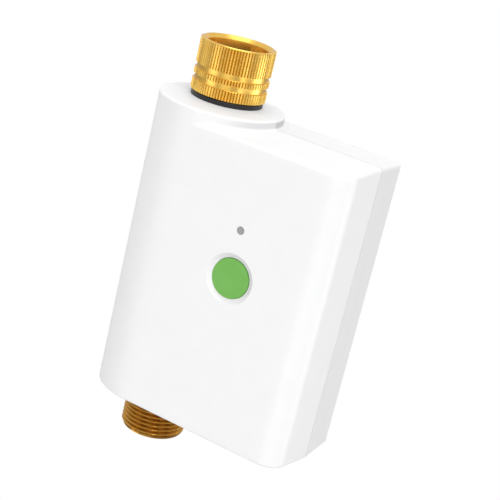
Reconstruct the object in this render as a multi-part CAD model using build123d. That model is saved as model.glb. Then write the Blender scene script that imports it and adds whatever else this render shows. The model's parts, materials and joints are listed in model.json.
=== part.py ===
from build123d import *
import os
from math import acos, cos, pi, radians, sin, sqrt, tan

# Smart water timer for a garden tap, in millimetres.
# Origin: on the pipe's axis, near the top of the outlet thread. +X runs from the pipe to the
# batteries, +Y from the front face to the back, +Z up the pipe to the tap.

# Pipe threads, both G 3/4
thread_major_radius = 13.22
thread_depth = 1.16

# Fits between pieces
running_gap = 0.06
fit_gap = 0.1
part_gap = 0.3

# How far a cutter runs past the face that it cuts, how far joined features run into each other,
# and the least roundings of a set-in outline
past = 1.0
bite = 0.1
least_rounding = 0.1
least_corner = 1.0

# Waterway
bore_radius = 7.0
tube_wall = 4.0
bottom_z = 0.2
outlet_reach = 18.9
outlet_thread_gap = 0.1
outlet_chamfer = 1.0
outlet_mouth_chamfer = 0.8
outlet_collar_inset = 0.3
outlet_collar_room = 0.2

# Ball valve
valve_height = 46.8
ball_bore_step = 0.5
ball_wall = 3.0
ball_gap = 0.2
chamber_gap = 0.7
chamber_wall = 3.5
valve_chamfer = 1.2
valve_half_height = 15.0
valve_head_room = 6.8
seat_height = 3.4
seat_gap = 0.2
seat_slack = 0.02
spigot_length = 10.0
stem_radius = 3.0
stem_slot_width = 4.1
stem_slot_depth = 2.4
stem_end_gap = 0.2
drive_square_share = 0.7
oring_radius = 0.9
pad_thickness = 0.9

# Gear train: stub teeth, three stages from the motor to the ball
pressure_angle = 25.0
tooth_addendum = 0.8
tooth_dedendum = 1.05
tooth_thinning = 0.08
centre_slack = 0.05
pinion_teeth = 12
output_teeth = 28
output_module = 0.8
middle_teeth = 36
middle_module = 0.6
first_teeth = 40
first_module = 0.5
output_face = 4.4
middle_face = 3.0
first_face = 2.8
gear_gap = 0.6
cover_gap = 0.8
axle_radius = 1.0
axle_seat = 1.0
axle_boss_wall = 1.0

# Gearbox
gearbox_plate = 1.4
gearbox_wall = 1.2
gear_room = 1.0
gearbox_screw_radius = 0.9
gearbox_screw_head = 1.8
gearbox_screw_head_height = 1.0
gearbox_screw_slot = 0.5
gearbox_screw_end_gap = 2.0
gearbox_screw_inset = 2.8
gearbox_boss_radius = 1.9
gearbox_top_drop = 2.0

# Motor, a common flat-sided size
motor_radius = 10.0
motor_half_width = 7.6
motor_length = 25.0
motor_shaft_radius = 1.0
motor_bell_radius = 5.0
motor_bell_length = 1.8
motor_rounding = 1.0
shaft_reach = 6.0
shaft_end_gap = 0.5
shaft_hole_gap = 1.2
press_gap = 0.02

# Four AA cells in two rows of two
cell_radius = 7.25
cell_length = 50.5
cell_nub_radius = 2.75
cell_nub_length = 1.0
cell_gap = 0.2
contact_room = 2.35
contact_thickness = 0.4
contact_width = 9.0
contact_inset = 0.5
spring_bend = 2.2
spring_tip = 2.5
spring_slant = 0.7
tray_wall = 1.0
tray_rib_width = 2.4
tray_gap = 4.0
tray_to_board = 1.65

# Battery door on the back
door_thickness = 2.2
door_gap = 0.25
door_side_margin = 2.0
door_end_margin = 6.4
door_corner_radius = 3.0
door_seal_height = 0.8
door_seal_width = 1.2
seat_thickness = 2.0
seat_overlap = 1.3
cell_to_door = 0.95
door_screw_inset = 2.9
door_screw_radius = 1.2
door_screw_head = 2.2
door_screw_length = 9.0
door_boss_radius = 2.2
door_boss_length = 5.0
door_head_sink = 1.6
door_edge_radius = 0.4
door_rib_width = 1.2
door_screw_sunk = 0.2

# Circuit board
board_thickness = 1.6
board_room = 4.36
board_standoff = 6.4
board_margin_x = 5.0
board_bottom_lift = 34.0
board_to_post = 1.3
board_screw_radius = 0.9
board_screw_head = 1.9
board_screw_head_height = 1.2
board_screw_slot = 0.5
board_screw_end_gap = 1.5
board_screw_inset = 3.0
board_post_radius = 2.6
radio_width = 14.0
radio_height = 18.0
radio_thickness = 2.4
radio_shift = 2.0
radio_drop = 6.0
socket_width = 8.0
socket_height = 6.0
socket_depth = 3.4
socket_wall = 1.0
socket_inset = 9.0
socket_lift = 1.9
socket_pitch = 14.0

# Housing
wall = 2.4
side_room = 3.1
back_room = 0.36
head_room = 16.65
round_x = 1.0
round_y = -4.3
boss_height = 3.4
front_draft = 3.8
rear_draft = 2.0
front_corner_radius = 8.0
rear_corner_radius = 3.5
round_corner_radius = 6.0
boss_top_radius = 1.0
boss_lead_angle = 12.0
boss_base_radius = 1.0
foot_bite = 0.06
shoulder_radius = 1.6
base_edge_radius = 0.8
seam_width = 0.3
seam_depth = 0.35
housing_seal_width = 1.0
housing_seal_height = 1.2
housing_seal_inset = 0.8
housing_seal_pipe_gap = 1.0

# Housing screws, driven from the back
case_screw_radius = 1.5
case_screw_head = 2.8
case_screw_head_height = 2.2
case_screw_slot = 1.2
case_boss_radius = 3.2
case_well_radius = 3.1
case_well_to_door = 1.3
case_well_depth = 6.0
case_screw_near_x = 24.0
case_screw_far_inset = 10.0
case_screw_near_lift = 7.4
case_screw_far_lift = 5.6
case_screw_drop = 10.3
case_screw_tip_gap = 6.0

# Cross recess of the screws, as shares of the head's radius, and its depth
recess_arm_share = 0.6
recess_half_share = 0.14
recess_depth = 0.6

# Clamps that hold the pipe in the back shell
clamp_width = 7.0
clamp_thickness = 1.9
clamp_ear = 6.0
clamp_ear_thickness = 2.2
clamp_screw_radius = 1.2
clamp_screw_head = 2.2
clamp_screw_head_height = 1.6
clamp_screw_length = 9.0
low_clamp_lift = 15.0
clamp_to_gearbox = 0.45

# Button and light on the front
button_x = 33.4
button_z = 66.45
button_radius = 7.75
button_sink = 0.3
button_gap = 0.25
button_flange = 1.1
button_flange_thickness = 0.8
button_collar_height = 2.2
button_boot_thickness = 0.6
button_edge_radius = 0.5
button_travel = 0.5
button_stem_radius = 2.0
dish_floor_gap = 0.2
dish_width = 2.2
dish_depth = 1.4
light_rise = 19.25
light_radius = 1.55
light_recess = 0.1
light_collar = 0.9
led_width = 3.0
led_height = 1.5
led_thickness = 1.4
switch_size = 6.2
switch_height = 3.3
plunger_radius = 1.7
plunger_height = 0.8
plunger_seat = 0.6

# Swivel collar and the black ring under it
neck_ring_height = 1.9
neck_ring_inset = 0.55
neck_ring_rounding = 0.4
swivel_height = 20.2
swivel_wall = 2.64
swivel_flutes = 79
flute_depth = 0.45
flute_land = 0.3
groove_depth = 0.75
groove_height = 2.15
top_knurl_height = 9.95
middle_knurl_height = 2.05
rim_height = 0.4
rim_chamfer = 0.4
mouth_chamfer = 1.4
lip_height = 4.9
relief_depth = 0.3
tailpiece_wall = 2.1
flange_height = 1.8
washer_height = 2.0
washer_hole_gap = 1.4
screen_thickness = 0.4
screen_depth = 8.0
screen_taper = 2.2

# Radii that follow from the bore and the threads
thread_minor_radius = thread_major_radius - thread_depth
tube_radius = bore_radius + tube_wall
tailpiece_radius = bore_radius + tailpiece_wall
washer_hole_radius = bore_radius + washer_hole_gap
ball_bore_radius = bore_radius - ball_bore_step
ball_radius = ball_bore_radius + ball_wall
chamber_radius = ball_radius + chamber_gap
valve_radius = chamber_radius + chamber_wall
pad_half_width = ball_radius
drive_half = drive_square_share * stem_radius
swivel_radius = thread_minor_radius + swivel_wall
neck_ring_radius = swivel_radius - neck_ring_inset
dish_radius = button_radius + dish_width

# Gear centres, one above the other
valve_z = bottom_z + valve_height
output_centre = output_module * (output_teeth + pinion_teeth) / 2 + centre_slack
middle_centre = middle_module * (middle_teeth + pinion_teeth) / 2 + centre_slack
first_centre = first_module * (first_teeth + pinion_teeth) / 2 + centre_slack
middle_z = valve_z + output_centre
first_z = middle_z + middle_centre
motor_z = first_z + first_centre
output_tip = output_module * (output_teeth / 2 + tooth_addendum)
middle_tip = middle_module * (middle_teeth / 2 + tooth_addendum)
first_tip = first_module * (first_teeth / 2 + tooth_addendum)

# Places along X
pad_x = valve_radius + pad_thickness
gear_x0 = pad_x + gearbox_plate + gear_gap
gear_x1 = gear_x0 + output_face
middle_x0 = gear_x1 + gear_gap
middle_x1 = middle_x0 + middle_face
first_x0 = middle_x1 + gear_gap
first_x1 = first_x0 + first_face
cover_x0 = first_x1 + cover_gap
cover_x1 = cover_x0 + gearbox_plate
bay_x0 = cover_x1 + tray_gap + tray_wall
bay_x1 = bay_x0 + 4 * cell_radius + 3 * cell_gap
right_x = bay_x1 + tray_wall + side_room + wall

# Places along Y
gearbox_half_depth = max(output_tip, middle_tip, first_tip) + gear_room + gearbox_wall
inner_back_y = gearbox_half_depth + back_room
back_y = inner_back_y + wall
door_inner_y = back_y - door_thickness
seat_y = door_inner_y - door_seal_height
tray_rim_y = seat_y - seat_thickness
rear_row_y = door_inner_y - cell_to_door - cell_radius
front_row_y = rear_row_y - 2 * cell_radius - cell_gap
bay_y0 = front_row_y - cell_radius - cell_gap
board_back_y = min(-gearbox_half_depth - board_room, bay_y0 - tray_wall - tray_to_board)
board_front_y = board_back_y - board_thickness
inner_front_y = board_front_y - board_standoff
front_y = inner_front_y - wall
seam_y = round_y
round_radius = round_y - front_y
case_screw_tip_y = inner_front_y + case_screw_tip_gap
button_lip_y = inner_front_y

# Places along Z
shoulder_z = motor_z + motor_radius + head_room + wall
boss_z = shoulder_z + boss_height
low_screw_z = bottom_z + case_screw_far_lift
high_screw_z = shoulder_z - case_screw_drop
door_z0 = low_screw_z + case_well_radius + case_well_to_door
bay_z0 = door_z0 + door_end_margin
bay_z1 = bay_z0 + cell_length + 2 * contact_room
door_z1 = bay_z1 + door_end_margin
board_z0 = bottom_z + board_bottom_lift
board_z1 = high_screw_z - case_boss_radius - board_to_post
gearbox_z0 = valve_z - output_tip - gear_room - gearbox_wall
gearbox_z1 = motor_z + motor_radius - gearbox_top_drop
outlet_z = bottom_z - outlet_reach
collar_z = bottom_z + wall + outlet_collar_room
nipple_top_z = valve_z - ball_radius - ball_gap - seat_gap
valve_bottom_z = nipple_top_z - spigot_length
valve_top_z = boss_z - wall - valve_head_room
ring_z = boss_z + neck_ring_height
swivel_z0 = ring_z + part_gap
swivel_z1 = swivel_z0 + swivel_height
flange_z = swivel_z0 + lip_height + part_gap
screen_z = flange_z + flange_height
washer_z = screen_z + screen_thickness
thread_z = washer_z + washer_height + part_gap

# Rows of screws
cell_xs = (bay_x0 + cell_gap + cell_radius, bay_x1 - cell_gap - cell_radius)
cell_ys = (front_row_y, rear_row_y)
case_screw_places = (
    (case_screw_near_x, bottom_z + case_screw_near_lift),
    (right_x - case_screw_far_inset, low_screw_z),
    (case_screw_near_x, high_screw_z),
    (right_x - case_screw_far_inset, high_screw_z),
)
board_x0 = pad_x + board_margin_x
board_x1 = right_x - wall - board_margin_x
board_screw_places = [
    (x, z)
    for x in (board_x0 + board_screw_inset, board_x1 - board_screw_inset)
    for z in (board_z0 + board_screw_inset, board_z1 - board_screw_inset)
]
clamp_zs = (bottom_z + low_clamp_lift, gearbox_z1 + clamp_to_gearbox + clamp_width / 2)
door_x0, door_x1 = bay_x0 - door_side_margin, bay_x1 + door_side_margin
door_x = (door_x0 + door_x1) / 2
door_screw_zs = (door_z0 + door_screw_inset, door_z1 - door_screw_inset)
light_z = button_z + light_rise
stem_groove_pitch = 2 * oring_radius + 3 * fit_gap
stem_oring_x = chamber_radius + oring_radius + 3 * fit_gap
stem_oring_xs = (stem_oring_x, stem_oring_x + stem_groove_pitch)
clamp_screw_reach = tube_radius + clamp_thickness + clamp_ear / 2
clamp_screw_xs = (-clamp_screw_reach, clamp_screw_reach)


def post(radius, z0, z1, x=0.0, y=0.0):
    """An upright cylinder from z0 to z1."""
    return Pos(x, y, (z0 + z1) / 2) * Cylinder(radius, z1 - z0)


def rod_x(radius, x0, x1, y, z):
    """A cylinder that runs along X from x0 to x1."""
    return Pos((x0 + x1) / 2, y, z) * Rot(0, 90, 0) * Cylinder(radius, x1 - x0)


def rod_y(radius, y0, y1, x, z):
    """A cylinder that runs along Y from y0 to y1."""
    return Pos(x, (y0 + y1) / 2, z) * Rot(90, 0, 0) * Cylinder(radius, y1 - y0)


def block(x0, x1, y0, y1, z0, z1):
    """A box between two corners."""
    return Pos((x0 + x1) / 2, (y0 + y1) / 2, (z0 + z1) / 2) * Box(x1 - x0, y1 - y0, z1 - z0)


def turned(points):
    """A turned piece: a profile of (radius, height) points, spun about the pipe's axis."""
    profile = make_face(Polyline(*[(r, 0, z) for r, z in points], close=True))
    return revolve(profile, Axis.Z)


def rounded_plate(x0, x1, y0, y1, z0, z1, radius):
    """A plate that lies across Y, with rounded corners."""
    outline = RectangleRounded(x1 - x0, z1 - z0, radius)
    place = Plane(origin=((x0 + x1) / 2, y1, (z0 + z1) / 2), x_dir=(1, 0, 0), z_dir=(0, -1, 0))
    return extrude(place * outline, y1 - y0)


def toothed_points(teeth, module, start):
    """Corner points of a stub-tooth gear: an involute flank in two chords, root, and tip."""
    pitch = module * teeth / 2
    base = pitch * cos(radians(pressure_angle))
    involute = tan(radians(pressure_angle)) - radians(pressure_angle)
    half = pi / (2 * teeth) - tooth_thinning / (2 * pitch)

    def flank(radius):
        if radius <= base:
            return half + involute
        angle = acos(base / radius)
        return half + involute - (tan(angle) - angle)

    tip = pitch + module * tooth_addendum
    root = pitch - module * tooth_dedendum
    radii = (root, pitch, tip)
    points = []
    for tooth in range(teeth):
        centre = radians(start) + 2 * pi * tooth / teeth
        for radius in radii:
            points.append((radius, centre - flank(radius)))
        for radius in reversed(radii):
            points.append((radius, centre + flank(radius)))
    return [(r * cos(a), r * sin(a)) for r, a in points]


def gear(teeth, module, start, x0, x1, z):
    """A spur gear across X, with a tooth at the start angle, counted from +Y towards +Z."""
    corners = [(x0, y, z + up) for y, up in toothed_points(teeth, module, start)]
    return extrude(make_face(Polyline(*corners, close=True)), x1 - x0, dir=(1, 0, 0))


# Housing
def rounded_corner(sketch, x, y, radius):
    """Rounds the corner of a flat outline that lies nearest to a point."""
    corner = sketch.vertices().sort_by_distance((x, y, 0))[0]
    return fillet(corner, max(radius, least_corner))


def half_plans(half, inset):
    """The body and the round boss of one housing half, seen from above."""
    radius = round_radius - inset
    left_x = round_x - radius
    left = (left_x, seam_y)
    right = (right_x - inset, seam_y)
    if half == "front":
        face_y = front_y + inset
        side = right[0] - (seam_y - face_y) * tan(radians(front_draft))
        turn_x = round_x
        corner_radius = front_corner_radius
        tangent = round_x
    else:
        face_y = back_y - inset
        side = right[0] - (face_y - seam_y) * tan(radians(rear_draft))
        turn_x = round_x - sqrt(radius ** 2 - (face_y - round_y) ** 2)
        corner_radius = rear_corner_radius
        tangent = 2 * round_x - turn_x
    middle = (left_x + turn_x) / 2
    rise = sqrt(radius ** 2 - (middle - round_x) ** 2)
    arc_y = round_y - rise if half == "front" else round_y + rise
    body = make_face([
        Line(left, right),
        Line(right, (side, face_y)),
        Line((side, face_y), (turn_x, face_y)),
        ThreePointArc((turn_x, face_y), (middle, arc_y), left),
    ])
    body = rounded_corner(body, side, face_y, corner_radius - inset)
    boss = Pos(round_x, round_y) * Circle(radius)
    if half == "front":
        boss += boss_lead(radius, face_y)
    band = abs(face_y - seam_y)
    boss &= Pos(round_x, (seam_y + face_y) / 2) * Rectangle(4 * radius, band)
    if half == "back":
        body = rounded_corner(body, turn_x, face_y, round_corner_radius)
        boss = rounded_corner(boss, turn_x, face_y, round_corner_radius)
        boss = rounded_corner(boss, tangent, face_y, round_corner_radius)
    return body, boss


def boss_lead(radius, face_y):
    """The short flat on which the boss leaves the front face, so that the two aren't tangent."""
    angle = radians(boss_lead_angle)
    corner = (round_x + radius * tan(angle / 2), face_y)
    touch = (round_x + radius * sin(angle), round_y - radius * cos(angle))
    return make_face(Polyline((round_x, round_y), (round_x, face_y), corner, touch, close=True))


def half_form(half, inset=0.0, rounded=False):
    """One half of the housing as a closed form, drafted away from the seam, or set in by a wall."""
    body_plan, boss_plan = half_plans(half, inset)
    low, high, top = bottom_z + inset, shoulder_z - inset, boss_z - inset
    draft = front_draft if half == "front" else rear_draft
    reach = front_y - 5 * past if half == "front" else back_y + 5 * past
    slope = abs(reach - seam_y) * tan(radians(draft))
    corners = [(seam_y, low), (seam_y, high), (reach, high - slope), (reach, low + slope)]
    section = make_face(Polyline(*[(-2 * right_x, y, z) for y, z in corners], close=True))
    column = extrude(Pos(0, 0, low) * body_plan, top - low)
    body = column & extrude(section, 4 * right_x, dir=(1, 0, 0))
    boss = extrude(Pos(0, 0, (low + high) / 2) * boss_plan, top - (low + high) / 2)
    if rounded:
        body = fillet(rim_edges(body, 1), shoulder_radius)
        body = fillet(rim_edges(body, -1), base_edge_radius)
        boss = fillet(rim_edges(boss, 1), boss_top_radius)
    form = body + boss
    if rounded and half == "front":
        form = fillet(boss_foot(form), boss_base_radius)
    if rounded and half == "back":
        form += rear_boss_foot() & column
    return form


def rim_edges(form, side):
    """Edges round the top (side 1) or the bottom (side -1) of a form, less those at the seam."""
    level = form.faces().sort_by(Axis.Z)[-1 if side > 0 else 0]
    return [edge for edge in level.edges() if abs(edge.center().Y - seam_y) > 0.01]


def rear_boss_foot():
    """Hollow rounding where the boss stands on the back shoulder, tilted with the draft there."""
    r = boss_base_radius
    wall_r = round_radius - foot_bite
    inner, outer = round_radius - past, wall_r + r
    bulge = r * (1 - sqrt(0.5))
    profile = make_face([
        Line((inner, 0, r), (inner, 0, -past)),
        Line((inner, 0, -past), (outer, 0, -past)),
        Line((outer, 0, -past), (outer, 0, 0)),
        ThreePointArc((outer, 0, 0), (wall_r + bulge, 0, bulge), (wall_r, 0, r)),
        Line((wall_r, 0, r), (inner, 0, r)),
    ])
    ring = Pos(round_x, round_y, shoulder_z) * Rot(-rear_draft, 0, 0) * revolve(profile, Axis.Z)
    end_y = back_y - shoulder_radius - 2 * boss_base_radius
    return ring & block(round_x, 2 * right_x, seam_y, end_y, bottom_z, boss_z)


def boss_foot(form):
    """Edges where the boss wall stands on the shoulder."""
    found = []
    for edge in form.edges():
        middle = edge @ 0.5
        off_wall = abs(Vector(middle.X - round_x, middle.Y - round_y).length - round_radius)
        level = abs((edge % 0.5).Z) < 0.5 and abs(middle.Z - shoulder_z) < boss_height / 2
        if off_wall < boss_base_radius / 4 and middle.X > round_x and level:
            found.append(edge)
    return found


def seam_line():
    """The shallow groove that shows round the housing where its halves meet."""
    ring = seam_section(-past) - seam_section(seam_depth)
    return Pos(0, -seam_width / 2, 0) * extrude(ring, seam_width, dir=(0, 1, 0))


def case_hole(radius, y0, y1):
    """One rod along Y for each housing screw."""
    return [rod_y(radius, y0, y1, x, z) for x, z in case_screw_places]


def front_shell():
    """Front half: button dish, light hole, board posts and screw posts."""
    shell = half_form("front", 0.0, True) & block(-2 * right_x, 2 * right_x, front_y - past, seam_y, -boss_z, 2 * boss_z)
    shell -= half_form("front", wall)
    shell += [rod_y(case_boss_radius, front_y + wall / 2, seam_y, x, z) for x, z in case_screw_places]
    shell += [rod_y(board_post_radius, front_y + wall / 2, board_front_y, x, z) for x, z in board_screw_places]
    collar_end = inner_front_y + button_collar_height
    shell += rod_y(button_radius + button_flange + wall, front_y + wall / 2, collar_end, button_x, button_z)
    shell += rod_y(light_radius + wall / 2, front_y + wall / 2, inner_front_y + wall, button_x, light_z)
    dish = Pos(button_x, front_y + dish_depth / 2, button_z) * Rot(90, 0, 0)
    shell -= dish * Cone(button_radius + button_gap + dish_floor_gap, dish_radius, dish_depth)
    shell -= rod_y(button_radius + button_gap, front_y - past, collar_end + past, button_x, button_z)
    pocket = button_radius + button_flange + part_gap
    shell -= rod_y(pocket, button_lip_y, collar_end + past, button_x, button_z)
    shell -= rod_y(light_radius + running_gap, front_y - past, inner_front_y + wall + past, button_x, light_z)
    shell -= case_hole(case_screw_radius + running_gap, case_screw_tip_y - past, seam_y + past)
    shell -= [rod_y(board_screw_radius + running_gap, inner_front_y, board_front_y + past, x, z) for x, z in board_screw_places]
    return shell - pipe_holes() - seam_line()


def pipe_holes():
    """Openings in the housing for the outlet thread below and the tailpiece above."""
    low = post(thread_major_radius + part_gap, bottom_z - past, bottom_z + 3 * wall)
    high = post(tailpiece_radius + part_gap, boss_z - 3 * wall, boss_z + past)
    return low + high


def rear_shell():
    """Back half: battery opening with its seat, screw posts and the saddles for the pipe."""
    shell = half_form("back", 0.0, True) & block(-2 * right_x, 2 * right_x, seam_y, back_y + past, -boss_z, 2 * boss_z)
    inner = half_form("back", wall)
    shell -= inner
    shell += [rod_y(case_boss_radius, seam_y, back_y - wall / 2, x, z) for x, z in case_screw_places]
    edge = seat_overlap
    seat = rounded_plate(door_x0 - edge, door_x1 + edge, tray_rim_y, back_y - wall / 2,
                         door_z0 - edge, door_z1 + edge, door_corner_radius)
    shell += seat & half_form("back", wall / 2)
    for z in door_screw_zs:
        shell += rod_y(door_boss_radius, tray_rim_y - door_boss_length, tray_rim_y + bite, door_x, z)
    for z in clamp_zs:
        reach = tube_radius + clamp_thickness + clamp_ear
        saddle = block(-reach, reach, 0, inner_back_y + wall / 2, z - clamp_width / 2, z + clamp_width / 2)
        shell += saddle & half_form("back", wall / 2)
        shell -= post(tube_radius + fit_gap, z - clamp_width, z + clamp_width)
        for x in clamp_screw_xs:
            shell -= rod_y(clamp_screw_radius + running_gap, -past, clamp_screw_length, x, z)
    shell -= rounded_plate(door_x0 - door_gap, door_x1 + door_gap, seat_y, back_y + past,
                           door_z0 - door_gap, door_z1 + door_gap, door_corner_radius)
    shell -= block(bay_x0, bay_x1, tray_rim_y - past, back_y, bay_z0, bay_z1)
    for z in door_screw_zs:
        shell -= rod_y(door_screw_radius + running_gap, tray_rim_y - door_boss_length - past, back_y, door_x, z)
    shell -= case_hole(case_well_radius, back_y - case_well_depth, back_y + past)
    shell -= case_hole(case_screw_radius + fit_gap, seam_y - past, back_y)
    shell -= housing_seal(fit_gap / 2)
    return shell - pipe_holes() - seam_line()


def housing_seal(gap=0.0):
    """Rubber cord in the joint between the halves, in two runs that end beside the pipe."""
    outside = housing_seal_inset - gap
    inside = housing_seal_inset + housing_seal_width + gap
    depth = housing_seal_height + gap
    ring = seam_section(outside) - seam_section(inside)
    cord = extrude(ring, depth, dir=(0, 1, 0))
    cord -= post(tailpiece_radius + housing_seal_pipe_gap, shoulder_z, boss_z + past)
    return cord - post(thread_major_radius + housing_seal_pipe_gap, bottom_z - past, bottom_z + 2 * wall)


def seam_section(inset):
    """The housing's outline in the plane of the seam, with its rounded rims, set in by a distance."""
    x0, x1 = round_x - round_radius + inset, right_x - inset
    step_x = round_x + round_radius - inset
    z0, z1, z2 = bottom_z + inset, shoulder_z - inset, boss_z - inset
    corners = [
        (x0, z0, base_edge_radius - inset), (x1, z0, base_edge_radius - inset), (x1, z1, shoulder_radius - inset),
        (step_x, z1, boss_base_radius + inset), (step_x, z2, boss_top_radius - inset), (x0, z2, boss_top_radius - inset),
    ]
    points = [(x, seam_y, z) for x, z, radius in corners]
    radii = [max(radius, least_rounding) for x, z, radius in corners]
    return make_face(FilletPolyline(*points, radius=radii, close=True))


def screw_y(x, z, head_y, radius, head_radius, head_height, length, depth=recess_depth):
    """A cross-recess screw driven along -Y, with the underside of its head at head_y."""
    screw = rod_y(head_radius, head_y, head_y + head_height, x, z)
    screw += rod_y(radius, head_y - length, head_y + bite, x, z)
    top = head_y + head_height
    arm, half = head_radius * recess_arm_share, head_radius * recess_half_share
    screw -= block(x - arm, x + arm, top - depth, top + past, z - half, z + half)
    screw -= block(x - half, x + half, top - depth, top + past, z - arm, z + arm)
    return screw


def housing_screws():
    """Four long screws at the bottom of their wells."""
    head_y = back_y - case_well_depth
    length = head_y - case_screw_tip_y
    return [
        screw_y(x, z, head_y, case_screw_radius, case_screw_head, case_screw_head_height, length, case_screw_slot)
        for x, z in case_screw_places
    ]


def battery_door():
    """Flush door on the back, with two screw holes and ribs that steady the cells."""
    door = rounded_plate(door_x0, door_x1, door_inner_y, back_y, door_z0, door_z1, door_corner_radius - door_gap)
    door = fillet(door.faces().sort_by(Axis.Y)[-1].edges(), door_edge_radius)
    half = door_rib_width / 2
    for x in cell_xs:
        door += block(x - half, x + half, door_inner_y - cell_to_door + part_gap, door_inner_y + bite,
                      bay_z0 + tray_wall, bay_z1 - tray_wall)
    for z in door_screw_zs:
        door -= rod_y(door_screw_radius + fit_gap, door_inner_y - past, back_y + past, door_x, z)
        door -= rod_y(door_screw_head + fit_gap, back_y - door_head_sink, back_y + past, door_x, z)
    return door


def battery_door_seal():
    """Flat rubber frame between the door and its seat, with eyes round the door screws."""
    margin = (door_side_margin - door_seal_width) / 2
    outer = rounded_plate(door_x0 + margin, door_x1 - margin, seat_y, door_inner_y,
                          door_z0 + margin, door_z1 - margin, door_corner_radius - margin)
    inner = rounded_plate(bay_x0 - margin, bay_x1 + margin, seat_y - past, door_inner_y + past,
                          bay_z0 - margin, bay_z1 + margin, door_corner_radius - margin)
    seal = outer - inner
    for z in door_screw_zs:
        seal -= rod_y(door_screw_radius + part_gap, seat_y - past, door_inner_y + past, door_x, z)
    return seal


def battery_door_screws():
    """Two screws that hold the door down."""
    head_y = back_y - door_head_sink
    return [
        screw_y(door_x, z, head_y, door_screw_radius, door_screw_head,
                door_head_sink - door_screw_sunk, door_screw_length)
        for z in door_screw_zs
    ]


def battery_tray():
    """Open box that holds the four cells, with a rib between its two columns."""
    tray = block(bay_x0 - tray_wall, bay_x1 + tray_wall, bay_y0 - tray_wall, tray_rim_y,
                 bay_z0 - tray_wall, bay_z1 + tray_wall)
    tray -= block(bay_x0, bay_x1, bay_y0, tray_rim_y + past, bay_z0, bay_z1)
    middle = (bay_x0 + bay_x1) / 2
    half = tray_rib_width / 2
    for y in (bay_y0 + half - tray_wall / 2, (front_row_y + rear_row_y) / 2):
        tray += block(middle - half, middle + half, y - half, y + half, bay_z0 - tray_wall / 2, bay_z1 + tray_wall / 2)
    return tray


def cell_places():
    """Column, row and direction of each cell, turned about so that they connect in series."""
    return [(x, y, 1 if (i + j) % 2 == 0 else -1) for i, x in enumerate(cell_xs) for j, y in enumerate(cell_ys)]


def battery_cells():
    """Four AA cells with their raised ends."""
    middle = (bay_z0 + bay_z1) / 2
    can = cell_length - cell_nub_length
    cells = []
    for x, y, way in cell_places():
        cell = post(cell_radius, middle - cell_length / 2, middle - cell_length / 2 + can, x, y)
        nub_z = middle + cell_length / 2 - cell_nub_length
        cell += post(cell_nub_radius, nub_z - bite, middle + cell_length / 2, x, y)
        if way < 0:
            cell = Pos(x, y, middle) * Rot(180, 0, 0) * Pos(-x, -y, -middle) * cell
        cells.append(cell)
    return cells


def battery_contacts():
    """Plates that meet the raised ends of the cells."""
    plates = []
    for x, y, way in cell_places():
        outer = bay_z1 if way > 0 else bay_z0
        inner = outer - way * contact_thickness
        low, high = sorted((outer, inner))
        half = contact_width / 2
        plate = block(x - half, x + half, y - half, y + half, low, high)
        dimple_end = inner - way * (contact_room - contact_thickness)
        low, high = sorted((inner + way * bite, dimple_end))
        plates.append(plate + post(cell_nub_radius - contact_inset, low, high, x, y))
    return plates


def battery_springs():
    """Leaf springs that press on the flat ends of the cells."""
    springs = []
    for x, y, way in cell_places():
        wall_z = bay_z0 if way > 0 else bay_z1
        half, thick, rise = contact_width / 2, contact_thickness, contact_room
        corners = [
            (-half, 0), (half, 0), (half, thick), (spring_bend - half, thick),
            (half - spring_tip, rise - thick), (half, rise - thick), (half, rise),
            (half - spring_tip - spring_slant, rise), (-half, thick),
        ]
        points = [(x - half / 2, y + side, wall_z + way * up) for side, up in corners]
        springs.append(extrude(make_face(Polyline(*points, close=True)), half, dir=(1, 0, 0)))
    return springs


# Electronics
def main_board():
    """Circuit board behind the front face."""
    board = block(board_x0, board_x1, board_front_y, board_back_y, board_z0, board_z1)
    for x, z in board_screw_places:
        board -= rod_y(board_screw_radius + fit_gap, board_front_y - past, board_back_y + past, x, z)
    return board


def board_screws():
    """Four screws from the back of the board into the front shell's posts."""
    length = board_thickness + board_standoff - board_screw_end_gap
    return [
        screw_y(x, z, board_back_y, board_screw_radius, board_screw_head, board_screw_head_height,
                length, board_screw_slot)
        for x, z in board_screw_places
    ]


def radio_module():
    """Shielded radio module on the board, above the light."""
    x0, z1 = (board_x0 + board_x1) / 2 + radio_shift, board_z1 - radio_drop
    return block(x0, x0 + radio_width, board_front_y - radio_thickness, board_front_y, z1 - radio_height, z1)


def board_sockets():
    """Sockets for the motor and battery leads, on the back of the board."""
    sockets = []
    x, half, tall, y = board_x1 - socket_inset, socket_width / 2, socket_height / 2, board_back_y
    low_z = bay_z1 + tray_wall + socket_lift + tall
    for z in (low_z, low_z + socket_pitch):
        socket = block(x - half, x + half, y, y + socket_depth, z - tall, z + tall)
        half_in, tall_in = half - socket_wall, tall - socket_wall
        socket -= block(x - half_in, x + half_in, y + socket_wall, y + socket_depth + past, z - tall_in, z + tall_in)
        sockets.append(socket)
    return sockets


def tact_switch():
    """Push switch under the button."""
    half = switch_size / 2
    top = board_front_y - switch_height
    switch = block(button_x - half, button_x + half, top, board_front_y, button_z - half, button_z + half)
    end = top + plunger_seat + button_travel + fit_gap
    return switch - rod_y(plunger_radius + fit_gap, top - past, end, button_x, button_z)


def switch_plunger():
    """The switch's own plunger."""
    top = board_front_y - switch_height
    return rod_y(plunger_radius, top - plunger_height, top + plunger_seat, button_x, button_z)


def status_led():
    """Light on the board, behind the light pipe."""
    half, tall = led_width / 2, led_height / 2
    return block(button_x - half, button_x + half, board_front_y - led_thickness, board_front_y,
                 light_z - tall, light_z + tall)


def light_pipe():
    """Clear rod from the board's light to the front face, with a collar behind the wall."""
    back = board_front_y - led_thickness - part_gap
    rod = rod_y(light_radius, front_y + light_recess, back, button_x, light_z)
    collar_y = inner_front_y + wall
    return rod + rod_y(light_radius + light_collar, collar_y, collar_y + light_collar, button_x, light_z)


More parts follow.
